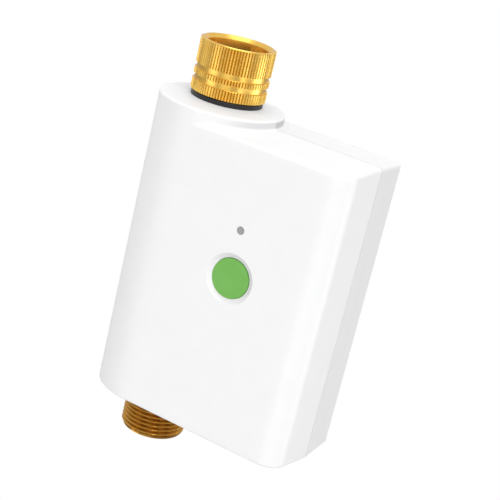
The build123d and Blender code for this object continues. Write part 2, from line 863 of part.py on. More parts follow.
def button_cap():
    """Round push button with a flange that the front wall holds in, and a stem to the switch."""
    face_y = front_y + button_sink
    flange_y = button_lip_y + fit_gap
    cap = rod_y(button_radius, face_y, flange_y + bite, button_x, button_z)
    cap = fillet(cap.faces().sort_by(Axis.Y)[0].edges(), button_edge_radius)
    cap += rod_y(button_radius + button_flange, flange_y, flange_y + button_flange_thickness, button_x, button_z)
    stem_end = board_front_y - switch_height - plunger_height - fit_gap
    return cap + rod_y(button_stem_radius, flange_y, stem_end, button_x, button_z)


def button_boot():
    """Rubber ring behind the button that keeps water out."""
    back = inner_front_y + button_collar_height
    front = back - button_boot_thickness
    boot = rod_y(button_radius + button_flange + part_gap, front, back, button_x, button_z)
    return boot - rod_y(button_stem_radius + part_gap, front - past, back + past, button_x, button_z)


# Waterway
def outlet_nipple():
    """Outlet: threaded below the housing, a collar in its wall, a spigot up into the valve."""
    r, chamfer_size, mouth, inset = thread_major_radius, outlet_chamfer, outlet_mouth_chamfer, outlet_collar_inset
    spigot, thread_top = chamber_radius - fit_gap, bottom_z - outlet_thread_gap
    return turned([
        (bore_radius + mouth, outlet_z), (r - chamfer_size, outlet_z), (r, outlet_z + chamfer_size),
        (r, thread_top), (r - inset, thread_top + inset), (r - inset, collar_z),
        (tube_radius, collar_z), (tube_radius, valve_bottom_z - fit_gap),
        (spigot, valve_bottom_z - fit_gap), (spigot, nipple_top_z),
        (bore_radius, nipple_top_z), (bore_radius, outlet_z + mouth),
    ])


def outlet_oring():
    """O-ring round the outlet's collar, on the housing floor."""
    z = collar_z + oring_radius
    return Pos(0, 0, z) * Torus(tube_radius + fit_gap + oring_radius, oring_radius)


def valve_body():
    """Brass valve body: ball chamber, stem neck with its pad, and the tube up to the tailpiece."""
    low, high = valve_bottom_z, valve_z + valve_half_height
    body = post(valve_radius, low, high)
    body = chamfer(body.edges().filter_by(GeomType.CIRCLE), valve_chamfer)
    body += post(tube_radius, high - past, valve_top_z)
    body += block(0, pad_x, -pad_half_width, pad_half_width, valve_z - pad_half_width, valve_z + pad_half_width)
    body -= post(chamber_radius, low - past, valve_z + ball_radius + ball_gap + seat_gap)
    body -= post(tailpiece_radius + fit_gap, valve_top_z - spigot_length, valve_top_z + past)
    body -= post(bore_radius, low, valve_top_z)
    body -= rod_x(stem_radius + running_gap, 0, pad_x + past, 0, valve_z)
    for x in stem_oring_xs:
        groove = stem_radius + 2 * oring_radius + 2 * fit_gap
        body -= rod_x(groove, x - oring_radius - fit_gap, x + oring_radius + fit_gap, 0, valve_z)
    return body


def valve_ball():
    """Ball with its waterway across the pipe at rest, which is shut, and a slot for the stem."""
    ball = Pos(0, 0, valve_z) * Sphere(ball_radius)
    ball -= rod_y(ball_bore_radius, -ball_radius - past, ball_radius + past, 0, valve_z)
    half = stem_slot_width / 2
    slot_x = ball_radius - stem_slot_depth
    return ball - block(slot_x, ball_radius + past, -ball_radius, ball_radius, valve_z - half, valve_z + half)


def ball_stem():
    """Stem from the ball's slot to the output gear, with a square end."""
    start = ball_radius + stem_end_gap
    stem = rod_x(stem_radius, start, gear_x0 - stem_end_gap, 0, valve_z)
    half = stem_slot_width / 2 - fit_gap
    tongue_x = ball_radius - stem_slot_depth + fit_gap
    tongue = block(tongue_x, start + past, -stem_radius, stem_radius, valve_z - half, valve_z + half)
    stem += tongue & rod_x(stem_radius, tongue_x - past, start + past, 0, valve_z)
    return stem + block(start, gear_x1 - part_gap, -drive_half, drive_half, valve_z - drive_half, valve_z + drive_half)


def ball_seats():
    """Two seat rings, hollowed to the ball, above and below it."""
    seats = []
    inner, outer = bore_radius, chamber_radius - fit_gap
    hollow = Pos(0, 0, valve_z) * Sphere(ball_radius + ball_gap)
    for side in (-1, 1):
        far = valve_z + side * (ball_radius + ball_gap + seat_gap - seat_slack)
        near = far - side * seat_height
        low, high = sorted((far, near))
        seats.append(post(outer, low, high) - post(inner, low - past, high + past) - hollow)
    return seats


def stem_orings():
    """Two O-rings on the stem."""
    ring = Rot(0, 90, 0) * Torus(stem_radius + running_gap + oring_radius, oring_radius)
    return [Pos(x, 0, valve_z) * ring for x in stem_oring_xs]


def inlet_tailpiece():
    """Tube from the valve up through the boss, with the flange that holds the swivel on."""
    top = flange_z + flange_height
    flange = thread_minor_radius - part_gap
    tube = tailpiece_radius
    return turned([
        (bore_radius, valve_top_z - spigot_length + fit_gap), (tube, valve_top_z - spigot_length + fit_gap),
        (tube, flange_z), (flange, flange_z), (flange, top), (bore_radius, top),
    ])


def inlet_swivel():
    """Knurled swivel collar: three fluted bands, two grooves, a lip below and the thread's bore."""
    root = swivel_radius - flute_depth
    groove = swivel_radius - groove_depth
    levels = [swivel_z1 - rim_height]
    for height in (top_knurl_height - rim_height, groove_height, middle_knurl_height, groove_height):
        levels.append(levels[-1] - height)
    z_knurl, z_groove, z_band, z_low_groove, z_low = levels
    collar = fluted_band(z_groove, z_knurl) + fluted_band(z_low_groove, z_band)
    collar += fluted_band(swivel_z0, z_low)
    collar += post(groove, z_band, z_groove) + post(groove, z_low, z_low_groove)
    collar += Pos(0, 0, swivel_z1 - rim_height / 2) * Cone(root, root - rim_chamfer, rim_height)
    bore = thread_minor_radius
    mouth = swivel_z1 - mouth_chamfer
    hollow = turned([
        (0, swivel_z0 - past), (tailpiece_radius + running_gap, swivel_z0 - past),
        (tailpiece_radius + running_gap, swivel_z0 + lip_height), (bore + relief_depth, swivel_z0 + lip_height),
        (bore + relief_depth, thread_z - relief_depth), (bore, thread_z), (bore, mouth),
        (bore + mouth_chamfer, swivel_z1), (bore + mouth_chamfer, swivel_z1 + past), (0, swivel_z1 + past),
    ])
    return collar - hollow


def fluted_band(z0, z1):
    """A band with V flutes between narrow lands."""
    root = swivel_radius - flute_depth
    step = 2 * pi / swivel_flutes
    corners = []
    for flute in range(swivel_flutes):
        angle = flute * step
        corners.append((swivel_radius, angle))
        corners.append((swivel_radius, angle + step * flute_land))
        corners.append((root, angle + step * (1 + flute_land) / 2))
    ring = make_face(Polyline(*[(r * cos(a), r * sin(a), z0) for r, a in corners], close=True))
    return extrude(ring, z1 - z0, dir=(0, 0, 1))


def neck_ring():
    """Black ring between the boss and the swivel."""
    ring = post(neck_ring_radius, boss_z, ring_z)
    ring = fillet(ring.edges().filter_by(GeomType.CIRCLE).sort_by(Axis.Z)[-1], neck_ring_rounding)
    return ring - post(tailpiece_radius + fit_gap, boss_z - past, ring_z + past)


def inlet_washer():
    """Rubber washer that the tap seals on."""
    ring = post(thread_minor_radius - part_gap, washer_z, washer_z + washer_height)
    return ring - post(washer_hole_radius, washer_z - past, washer_z + washer_height + past)


def filter_screen():
    """Cup-shaped screen under the washer, which hangs into the tailpiece."""
    rim, t, cup = thread_minor_radius - 2 * part_gap, screen_thickness, bore_radius - part_gap
    floor_z = screen_z - screen_depth
    toe = cup - screen_taper
    return turned([
        (0, floor_z), (toe, floor_z), (cup, screen_z), (rim, screen_z), (rim, screen_z + t),
        (cup - t, screen_z + t), (toe - t, floor_z + t), (0, floor_z + t),
    ])


def pipe_clamps():
    """Two straps that hold the pipe down on its saddles."""
    straps = []
    inner, outer = tube_radius + fit_gap, tube_radius + clamp_thickness
    reach = outer + clamp_ear
    for z in clamp_zs:
        low, high = z - clamp_width / 2, z + clamp_width / 2
        strap = post(outer, low, high)
        strap += block(-reach, reach, -clamp_ear_thickness, 0, low, high)
        strap -= post(inner, low - past, high + past)
        strap &= block(-reach, reach, -outer, 0, low, high)
        for x in clamp_screw_xs:
            strap -= rod_y(clamp_screw_radius + fit_gap, -outer, past, x, z)
        straps.append(strap)
    return straps


def clamp_screws():
    """Four screws through the ears of the straps."""
    screws = []
    for z in clamp_zs:
        for x in clamp_screw_xs:
            screw = screw_y(-x, z, clamp_ear_thickness, clamp_screw_radius, clamp_screw_head,
                            clamp_screw_head_height, clamp_screw_length)
            screws.append(Rot(0, 0, 180) * screw)
    return screws


# Gearbox
def gearbox_screw_places():
    """Corner places of the gearbox screws."""
    inset = gearbox_screw_inset
    half = gearbox_half_depth - inset
    return [(y, z) for y in (-half, half) for z in (gearbox_z0 + inset, gearbox_z1 - inset)]


def gearbox_base():
    """Open tray against the valve's pad that carries the gear axles."""
    half, low, high = gearbox_half_depth, gearbox_z0, gearbox_z1
    base = block(pad_x, cover_x0, -half, half, low, high)
    inner = half - gearbox_wall
    base -= block(pad_x + gearbox_plate, cover_x0 + past, -inner, inner, low + gearbox_wall, high - gearbox_wall)
    for y, z in gearbox_screw_places():
        base += rod_x(gearbox_boss_radius, pad_x + bite, cover_x0, y, z)
    for z in (middle_z, first_z):
        boss_end = pad_x + gearbox_plate + gear_gap - fit_gap
        base += rod_x(axle_radius + axle_boss_wall, pad_x + bite, boss_end, 0, z)
        base -= rod_x(axle_radius + running_gap, pad_x + gearbox_plate - axle_seat, cover_x0, 0, z)
    for y, z in gearbox_screw_places():
        hole_x0 = pad_x + gearbox_screw_end_gap - past
        base -= rod_x(gearbox_screw_radius + running_gap, hole_x0, cover_x0 + past, y, z)
    return base - rod_x(stem_radius + part_gap, pad_x - past, cover_x0, 0, valve_z)


def gearbox_cover():
    """Plate that closes the gearbox and carries the motor."""
    half = gearbox_half_depth
    cover = block(cover_x0, cover_x1, -half, half, gearbox_z0, gearbox_z1)
    for y, z in gearbox_screw_places():
        cover -= rod_x(gearbox_screw_radius + fit_gap, cover_x0 - past, cover_x1 + past, y, z)
    for z in (middle_z, first_z):
        cover -= rod_x(axle_radius + running_gap, cover_x0 - past, cover_x0 + axle_seat + fit_gap, 0, z)
    return cover - rod_x(motor_shaft_radius + shaft_hole_gap, cover_x0 - past, cover_x1 + past, 0, motor_z)


def gearbox_screws():
    """Four screws through the cover into the base."""
    screws = []
    wide, half = gearbox_screw_head, gearbox_screw_head * recess_half_share
    top = cover_x1 + gearbox_screw_head_height
    for y, z in gearbox_screw_places():
        shank = rod_x(gearbox_screw_radius, pad_x + gearbox_screw_end_gap, cover_x1 + bite, y, z)
        head = rod_x(gearbox_screw_head, cover_x1, top, y, z)
        head -= block(top - gearbox_screw_slot, top + past, y - wide, y + wide, z - half, z + half)
        screws.append(shank + head)
    return screws


def gear_axles():
    """Two steel pins that the loose gears turn on."""
    x0, x1 = pad_x + gearbox_plate - axle_seat, cover_x0 + axle_seat
    return [rod_x(axle_radius, x0, x1, 0, z) for z in (middle_z, first_z)]


def output_gear():
    """Last gear, on the stem's square end."""
    wheel = gear(output_teeth, output_module, 90, gear_x0, gear_x1, valve_z)
    square = drive_half + running_gap
    return wheel - block(gear_x0 - past, gear_x1 + past, -square, square, valve_z - square, valve_z + square)


def double_gear(wheel_teeth, wheel_module, pinion_module, x0, x1, x2, z):
    """A small gear that drives the one below, on the face of a large gear."""
    small = gear(pinion_teeth, pinion_module, 270 + 180 / pinion_teeth, x0, x1, z)
    large = gear(wheel_teeth, wheel_module, 90, x1, x2, z)
    return small + large - rod_x(axle_radius + running_gap, x0 - past, x2 + past, 0, z)


def middle_gear():
    """Second gear of the train."""
    return double_gear(middle_teeth, middle_module, output_module, gear_x0, middle_x0, middle_x1, middle_z)


def first_gear():
    """First gear after the motor."""
    return double_gear(first_teeth, first_module, middle_module, middle_x0, first_x0, first_x1, first_z)


def motor_pinion():
    """Small gear pressed on the motor shaft."""
    pinion = gear(pinion_teeth, first_module, 270 + 180 / pinion_teeth, first_x0, first_x1, motor_z)
    return pinion - rod_x(motor_shaft_radius + press_gap, first_x0 - past, first_x1 + past, 0, motor_z)


def motor_shaft():
    """Motor shaft, from the pinion into the can."""
    return rod_x(motor_shaft_radius, first_x0 - part_gap, cover_x1 + shaft_reach, 0, motor_z)


def drive_motor():
    """Flat-sided motor on the gearbox cover."""
    x0, x1 = cover_x1, cover_x1 + motor_length
    can = rod_x(motor_radius, x0, x1, 0, motor_z)
    can = fillet(can.edges().filter_by(GeomType.CIRCLE), motor_rounding)
    can &= block(x0 - past, x1 + past, -motor_half_width, motor_half_width, motor_z - motor_radius, motor_z + motor_radius)
    can += rod_x(motor_bell_radius, x1 - motor_rounding, x1 + motor_bell_length, 0, motor_z)
    return can - rod_x(motor_shaft_radius + running_gap, x0 - past, x0 + shaft_reach + shaft_end_gap, 0, motor_z)


nodes = {
    "front_shell": front_shell,
    "rear_shell": rear_shell,
    "housing_seal": housing_seal,
    "housing_screws": housing_screws,
    "battery_door": battery_door,
    "battery_door_seal": battery_door_seal,
    "battery_door_screws": battery_door_screws,
    "battery_tray": battery_tray,
    "battery_cells": battery_cells,
    "battery_contacts": battery_contacts,
    "battery_springs": battery_springs,
    "main_board": main_board,
    "board_screws": board_screws,
    "radio_module": radio_module,
    "board_sockets": board_sockets,
    "tact_switch": tact_switch,
    "switch_plunger": switch_plunger,
    "status_led": status_led,
    "light_pipe": light_pipe,
    "button_cap": button_cap,
    "button_boot": button_boot,
    "outlet_nipple": outlet_nipple,
    "outlet_oring": outlet_oring,
    "valve_body": valve_body,
    "valve_ball": valve_ball,
    "ball_stem": ball_stem,
    "ball_seats": ball_seats,
    "stem_orings": stem_orings,
    "inlet_tailpiece": inlet_tailpiece,
    "inlet_swivel": inlet_swivel,
    "neck_ring": neck_ring,
    "inlet_washer": inlet_washer,
    "filter_screen": filter_screen,
    "pipe_clamps": pipe_clamps,
    "clamp_screws": clamp_screws,
    "gearbox_base": gearbox_base,
    "gearbox_cover": gearbox_cover,
    "gearbox_screws": gearbox_screws,
    "gear_axles": gear_axles,
    "output_gear": output_gear,
    "middle_gear": middle_gear,
    "first_gear": first_gear,
    "motor_pinion": motor_pinion,
    "motor_shaft": motor_shaft,
    "drive_motor": drive_motor,
}

os.makedirs("parts", exist_ok=True)
for name, make in nodes.items():
    made = make()
    solids = made if isinstance(made, list) else [made]
    pieces = [solid for piece in solids for solid in piece.solids()]
    shape = pieces[0] if len(pieces) == 1 else Compound(children=pieces)
    shape.label = name
    export_step(shape, f"parts/{name}.step")
    print(f"{name}: {len(pieces)} solids, {sum(piece.volume for piece in pieces):.0f} mm3")
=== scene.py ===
# %% [markdown]
# A garden water timer stands between a tap and a hose. Its white housing has a round left end and a flat
# front with a green button. A knurled brass collar above screws onto the tap, and a brass thread below is
# for the hose. The solids are already made in CAD, so this lesson dresses them. It loads them as a fixed
# frame, and everything here is in metres, in the same frame. The water pipe's axis is the line x = 0, y = 0.

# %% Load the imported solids
import json

import bmesh
import bpy
import numpy as np
from mathutils import Matrix, Vector


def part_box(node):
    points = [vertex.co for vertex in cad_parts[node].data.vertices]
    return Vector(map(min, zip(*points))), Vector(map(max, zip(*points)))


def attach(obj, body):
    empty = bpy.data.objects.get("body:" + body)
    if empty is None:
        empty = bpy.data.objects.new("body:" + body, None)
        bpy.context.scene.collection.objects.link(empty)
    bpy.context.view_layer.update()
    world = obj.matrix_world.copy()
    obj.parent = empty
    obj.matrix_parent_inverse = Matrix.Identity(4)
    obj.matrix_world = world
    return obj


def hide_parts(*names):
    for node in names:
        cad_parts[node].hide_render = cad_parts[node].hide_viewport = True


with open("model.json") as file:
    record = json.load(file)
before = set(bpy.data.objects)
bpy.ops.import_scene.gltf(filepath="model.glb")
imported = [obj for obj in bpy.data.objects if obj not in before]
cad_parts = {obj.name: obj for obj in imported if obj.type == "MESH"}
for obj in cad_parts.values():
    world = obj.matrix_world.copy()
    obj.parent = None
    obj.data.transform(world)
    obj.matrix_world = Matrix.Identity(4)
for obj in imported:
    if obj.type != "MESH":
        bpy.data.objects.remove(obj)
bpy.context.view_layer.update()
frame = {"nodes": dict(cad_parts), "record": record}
cad_nodes = frame["nodes"]
mm = 0.001

# %% [markdown]
# The photograph shows the timer from its front right, a little from above, and turned in the picture. The
# place of a camera can be tried by eye, but here the outlines of the housing and of both threads in the
# picture were matched to the solids. That gives two angles of view, a roll, a distance, a lens and the
# point looked at. The camera's three axes follow from the angles, and they fill the columns of its matrix.

# %% Place the camera
view_azimuth = np.radians(26.03)
view_elevation = np.radians(18.35)
view_roll = np.radians(13.64)
view_distance = 532.42 * mm
view_target = np.array([24.93, 0.0, 69.54]) * mm
lens_length = 98.54


def camera_axes(azimuth, elevation, roll):
    """Right, up and forward of a camera: it looks along (-sin a cos e, cos a cos e, -sin e), and its right
    and up are then turned about that line by the roll."""
    forward = np.array([
        -np.sin(azimuth) * np.cos(elevation),
        np.cos(azimuth) * np.cos(elevation),
        -np.sin(elevation),
    ])
    level = np.array([np.cos(azimuth), np.sin(azimuth), 0.0])
    upward = np.cross(level, forward)
    right = np.cos(roll) * level + np.sin(roll) * upward
    up = np.cos(roll) * upward - np.sin(roll) * level
    return right, up, forward


right, up, forward = camera_axes(view_azimuth, view_elevation, view_roll)
camera = bpy.data.objects.new("photo_camera", bpy.data.cameras.new("photo_camera"))
bpy.context.scene.collection.objects.link(camera)
camera.data.lens = lens_length
camera.data.clip_start = 10 * mm
place = Matrix.Identity(4)
for column, axis in enumerate((right, up, -forward)):
    place.col[column].xyz = Vector(axis)
place.translation = Vector(view_target - forward * view_distance)
camera.matrix_world = place
bpy.context.scene.camera = camera
print("camera stands at, in mm:", [round(v / mm, 1) for v in place.translation])

# %% [markdown]
# The picture is a studio cut-out: the ground behind the timer is white, and it casts no shadow. A pale
# floor far below and a pale room round it give that ground from every side. Both shine evenly and are seen
# by the camera alone, so that they don't light the timer. The standard view keeps the white of the plastic,
# which a film-like view would turn grey.

# %% Floor and room
bpy.context.scene.view_settings.view_transform = "Standard"
floor_drop = 0.8
floor_steps = 9
room_radius = 6.0
room_steps = (49, 25)


def pale_finish(name, shade):
    """An evenly shining pale surface."""
    material = bpy.data.materials.new(name)
    material.use_nodes = True
    tree = material.node_tree
    tree.nodes.clear()
    glow = tree.nodes.new("ShaderNodeEmission")
    glow.inputs["Color"].default_value = (shade, shade, shade, 1)
    output = tree.nodes.new("ShaderNodeOutputMaterial")
    tree.links.new(glow.outputs[0], output.inputs["Surface"])
    return material


def seen_by_camera_only(piece):
    """The floor and the room neither light the timer nor show in its gloss."""
    piece.visible_diffuse = False
    piece.visible_glossy = False
    piece.visible_transmission = False
    piece.visible_shadow = False


def stage_piece(name, grid, material):
    """A sheet over a grid of points, kept apart from the timer."""
    rows, columns = grid.shape[:2]
    index = np.arange(rows * columns).reshape(rows, columns)
    faces = np.stack([index[:-1, :-1], index[:-1, 1:], index[1:, 1:], index[1:, :-1]], -1)
    mesh = bpy.data.meshes.new(name)
    mesh.from_pydata(grid.reshape(-1, 3).tolist(), [], faces.reshape(-1, 4).tolist())
    mesh.materials.append(material)
    piece = bpy.data.objects.new(name, mesh)
    bpy.context.scene.collection.objects.link(piece)
    seen_by_camera_only(piece)
    return piece


pale = pale_finish("studio_white", 1.0)
span = np.linspace(-room_radius, room_radius, floor_steps)
across, along = np.meshgrid(span, span)
floor = stage_piece("floor", np.stack([across, along, np.full_like(across, -floor_drop)], -1), pale)
turn, lift = np.meshgrid(
    np.linspace(0, 2 * np.pi, room_steps[0]), np.linspace(-np.pi / 2, np.pi / 2, room_steps[1]))
ball = np.stack([np.cos(lift) * np.cos(turn), np.cos(lift) * np.sin(turn), np.sin(lift)], -1)
room = stage_piece("room", room_radius * ball, pale)
print(floor.name, "lies", floor_drop, "m below, and", room.name, "is", 2 * room_radius, "m across")

# %% [markdown]
# Part of the light comes from all round. In a studio with a white ceiling it is brighter from above than
# from below, so the sky is a plain white with two strengths. The sky's own vector points along each ray,
# and its Z, which says how steeply the ray climbs, picks the strength. Two small helpers are made here,
# because the finishes need them too: one coordinate by itself, and a change from one range to another.

# %% Sky
sky_above = 0.82
sky_below = 0.44
sky_blend = 0.2


def coordinate(tree, kind, axis):
    """One axis of a kind of coordinates, such as Object."""
    where = tree.nodes.new("ShaderNodeTexCoord")
    parts = tree.nodes.new("ShaderNodeSeparateXYZ")
    tree.links.new(where.outputs[kind], parts.inputs["Vector"])
    return parts.outputs[axis]


def ranged(tree, value, start, end, low=0.0, high=1.0):
    """A node that goes from low to high as the value goes from start to end, and holds still outside."""
    change = tree.nodes.new("ShaderNodeMapRange")
    change.inputs["From Min"].default_value = start
    change.inputs["From Max"].default_value = end
    change.inputs["To Min"].default_value = low
    change.inputs["To Max"].default_value = high
    tree.links.new(value, change.inputs["Value"])
    return change


sky = bpy.data.worlds.new("studio_sky")
sky.use_nodes = True
climb = coordinate(sky.node_tree, "Generated", "Z")
strength = ranged(sky.node_tree, climb, -sky_blend, sky_blend, sky_below, sky_above)
sky_light = sky.node_tree.nodes["Background"]
sky_light.inputs["Color"].default_value = (1.0, 1.0, 1.0, 1)
sky.node_tree.links.new(strength.outputs["Result"], sky_light.inputs["Strength"])
bpy.context.scene.world = sky
print("the sky has strength", sky_above, "above and", sky_below, "below")

# %% [markdown]
# The rest comes from soft boxes, which are large flat lamps. A matt housing beside shiny brass needs two
# kinds of them. Those that light only matt surfaces shade the housing without drawing white stripes on the
# brass. Those that show only in gloss, here called strips, draw the bright bands of the brass and hardly
# change the housing. The strengths can be guessed, but these were first solved for: the picture is rendered
# once for each lamp alone, and the sum of these pictures that is nearest to the photograph says how strong
# each lamp is. The strips and the lamps at the sides were then set one by one.

# %% Soft boxes
stage_middle = Vector(view_target)


def soft_box(name, azimuth, elevation, distance, width, height, watts, matt=True, shine=True):
    """A flat lamp that faces the timer. Azimuth 0 is the front and 90 the right side, in degrees. One
    that isn't for the matt plastic shows only in gloss and metal, and one that isn't for shine does not."""
    a, e = np.radians(azimuth), np.radians(elevation)
    away = Vector((np.sin(a) * np.cos(e), -np.cos(a) * np.cos(e), np.sin(e)))
    lamp = bpy.data.lights.new(name, "AREA")
    lamp.shape = "RECTANGLE"
    lamp.size = width
    lamp.size_y = height
    lamp.energy = watts
    box = bpy.data.objects.new(name, lamp)
    box.location = stage_middle + distance * away
    box.rotation_mode = "QUATERNION"
    box.rotation_quaternion = away.to_track_quat("Z", "Y")
    box.visible_diffuse = matt
    box.visible_glossy = shine
    bpy.context.scene.collection.objects.link(box)
    return box


# Name, azimuth and elevation in degrees, distance, width and height in metres, watts.
soft_boxes = [
    soft_box("key_box", 41, 38, 2.0, 1.0, 1.0, 12.6),
    soft_box("top_box", 0, 88, 1.6, 1.0, 1.0, 4.9),
    soft_box("left_box", -105, 0, 1.6, 0.9, 1.2, 9.2, shine=False),
    soft_box("right_box", 114, -10, 1.6, 0.8, 1.2, 1.5, shine=False),
    soft_box("low_box", 20, -28, 1.6, 1.0, 1.0, 8.4, shine=False),
    soft_box("left_strip", -34, -16, 1.6, 0.8, 0.8, 2.6, matt=False),
    soft_box("front_strip", 16, -16, 1.6, 0.9, 0.8, 1.5, matt=False),
    soft_box("side_strip", 66, -14, 1.6, 0.4, 0.8, 1.7, matt=False),
    soft_box("back_strip", 120, -18, 1.6, 0.9, 0.8, 8.0, matt=False),
]
print("soft boxes:", [box.name for box in soft_boxes])

# %% [markdown]
# Every finish is a small tree of nodes: a noise that varies the colour a little, one that varies the gloss,
# and a fine bump. Real plastic, rubber and metal are never one flat colour, and these small changes are
# what the eye reads as a material. The patterns read Object coordinates, which are metres here, so a size
# in the tree is the size on the real thing. Each helper adds one part to a finish.

# %% Helpers for finishes
def new_finish(name, metallic=0.0, coat=0.0, coat_roughness=0.1):
    """A material with its main shader, and the values that are the same all over the surface."""
    material = bpy.data.materials.new(name)
    material.use_nodes = True
    shader = material.node_tree.nodes["Principled BSDF"]
    shader.inputs["Metallic"].default_value = metallic
    shader.inputs["Coat Weight"].default_value = coat
    shader.inputs["Coat Roughness"].default_value = coat_roughness
    return material


def cloudy(material, grain, detail=3.0, stretch=(1, 1, 1)):
    """A noise in Object coordinates, whose blobs are about one grain across, longer where stretched."""
    tree = material.node_tree
    where = tree.nodes.new("ShaderNodeTexCoord")
    sizing = tree.nodes.new("ShaderNodeMapping")
    sizing.inputs["Scale"].default_value = [1 / s for s in stretch]
    noise = tree.nodes.new("ShaderNodeTexNoise")
    noise.inputs["Scale"].default_value = 1 / grain
    noise.inputs["Detail"].default_value = detail
    tree.links.new(where.outputs["Object"], sizing.inputs["Vector"])
    tree.links.new(sizing.outputs["Vector"], noise.inputs["Vector"])
    return noise.outputs["Fac"]


def coloured(material, pattern, dark, light, low=0.35, high=0.65):
    """Base colour between two shades, as the pattern goes from low to high."""
    tree = material.node_tree
    ramp = tree.nodes.new("ShaderNodeValToRGB")
    ramp.color_ramp.elements[0].position = low
    ramp.color_ramp.elements[1].position = high
    ramp.color_ramp.elements[0].color = (*dark, 1)
    ramp.color_ramp.elements[1].color = (*light, 1)
    tree.links.new(pattern, ramp.inputs["Fac"])
    tree.links.new(ramp.outputs["Color"], tree.nodes["Principled BSDF"].inputs["Base Color"])


def glossed(material, pattern, smooth, rough, low=0.3, high=0.7):
    """Roughness between two values, as the pattern goes from low to high."""
    tree = material.node_tree
    roughness = ranged(tree, pattern, low, high, smooth, rough).outputs["Result"]
    tree.links.new(roughness, tree.nodes["Principled BSDF"].inputs["Roughness"])


def embossed(material, pattern, depth):
    """A bump whose peaks are one depth high."""
    tree = material.node_tree
    bump = tree.nodes.new("ShaderNodeBump")
    bump.inputs["Strength"].default_value = 1.0
    bump.inputs["Distance"].default_value = depth
    tree.links.new(pattern, bump.inputs["Height"])
    tree.links.new(bump.outputs["Normal"], tree.nodes["Principled BSDF"].inputs["Normal"])


# %% [markdown]
# The housing is satin white plastic. Its grain is so fine that the photograph shows none, so the bump is
# only a few thousandths of a millimetre deep, and what is seen is a soft, wide sheen. The rear half is a
# shade darker: a painted shade for its sides and top, which lean back from the light. The button is the
# same plastic in leaf green. The small window above it is smoked clear plastic over a dark hole. One
# table holds what differs from plastic to plastic.

# %% Plastics and rubbers
plastic_cloud = 9 * mm
plastic_sheen = 4 * mm


def moulded(name, dark, light, smooth, rough, grain, depth, coat=0.0):
    """A moulded plastic or rubber: faint clouds in its colour, uneven gloss and the mould's fine grain."""
    material = new_finish(name, coat=coat)
    coloured(material, cloudy(material, plastic_cloud), dark, light)
    glossed(material, cloudy(material, plastic_sheen), smooth, rough)
    embossed(material, cloudy(material, grain * mm, detail=2.0), depth * mm)
    return material


# Name: darkest and lightest colour, smoothest and roughest, width and depth of the grain in mm, coat.
moulded_finishes = {
    "white_abs": ((0.847, 0.847, 0.85), (0.858, 0.858, 0.86), 0.42, 0.5, 0.25, 0.002),
    # The rear half's plastic is darker as a painted shade for its back-leaning sides and top.
    "rear_abs_painted_shade": ((0.835, 0.835, 0.84), (0.846, 0.846, 0.85), 0.42, 0.5, 0.25, 0.002),
    "button_green": ((0.143, 0.415, 0.063), (0.157, 0.44, 0.077), 0.38, 0.46, 0.25, 0.002),
    "smoked_clear": ((0.225, 0.225, 0.23), (0.275, 0.275, 0.28), 0.12, 0.2, 0.5, 0.001, 0.4),
    "black_rubber": ((0.01, 0.01, 0.012), (0.018, 0.018, 0.02), 0.42, 0.58, 0.3, 0.006),
    "ring_black": ((0.006, 0.006, 0.008), (0.01, 0.01, 0.012), 0.36, 0.48, 0.3, 0.004),
    "black_plastic": ((0.016, 0.016, 0.018), (0.026, 0.026, 0.028), 0.34, 0.48, 0.25, 0.005),
    "natural_nylon": ((0.7, 0.68, 0.6), (0.78, 0.76, 0.69), 0.38, 0.5, 0.4, 0.004),
}
finishes = {name: moulded(name, *row) for name, row in moulded_finishes.items()}
print("plastics:", list(finishes))

# %% [markdown]
# Some places are darker than these soft lamps make them, such as a joint or the bottom of a groove. The
# shade there could be painted into a picture that is wrapped round the piece. Here the painted shade is a
# blend of the colour towards a darker one instead, by a factor that a few nodes work out for each point of
# the surface.

# %% Helpers for painted shades
def shaded_by(material, factor, shade):
    """Blends the base colour towards a darker one where the factor is 1, which paints shade."""
    tree = material.node_tree
    base = tree.nodes["Principled BSDF"].inputs["Base Color"]
    blend = tree.nodes.new("ShaderNodeMix")
    blend.data_type = "RGBA"
    blend.inputs["B"].default_value = (*shade, 1)
    tree.links.new(factor, blend.inputs["Factor"])
    tree.links.new(base.links[0].from_socket, blend.inputs["A"])
    tree.links.new(blend.outputs["Result"], base)


def near_level(material, axis, level, reach, core=0.6):
    """1 within a core of a level along one axis of Object coordinates, and from there down to 0 at the
    reach. The core is a share of the reach."""
    tree = material.node_tree
    off = tree.nodes.new("ShaderNodeMath")
    off.operation = "SUBTRACT"
    off.inputs[1].default_value = level
    size = tree.nodes.new("ShaderNodeMath")
    size.operation = "ABSOLUTE"
    tree.links.new(coordinate(tree, "Object", axis), off.inputs[0])
    tree.links.new(off.outputs["Value"], size.inputs[0])
    return ranged(tree, size.outputs["Value"], reach, core * reach).outputs["Result"]


def towards(material, factor, axis, start, end):
    """The factor, let in gradually along one axis of Object coordinates, from none of it at the start to
    all of it at the end."""
    tree = material.node_tree
    rise = ranged(tree, coordinate(tree, "Object", axis), start, end)
    tree.links.new(factor, rise.inputs["To Max"])
    return rise.outputs["Result"]
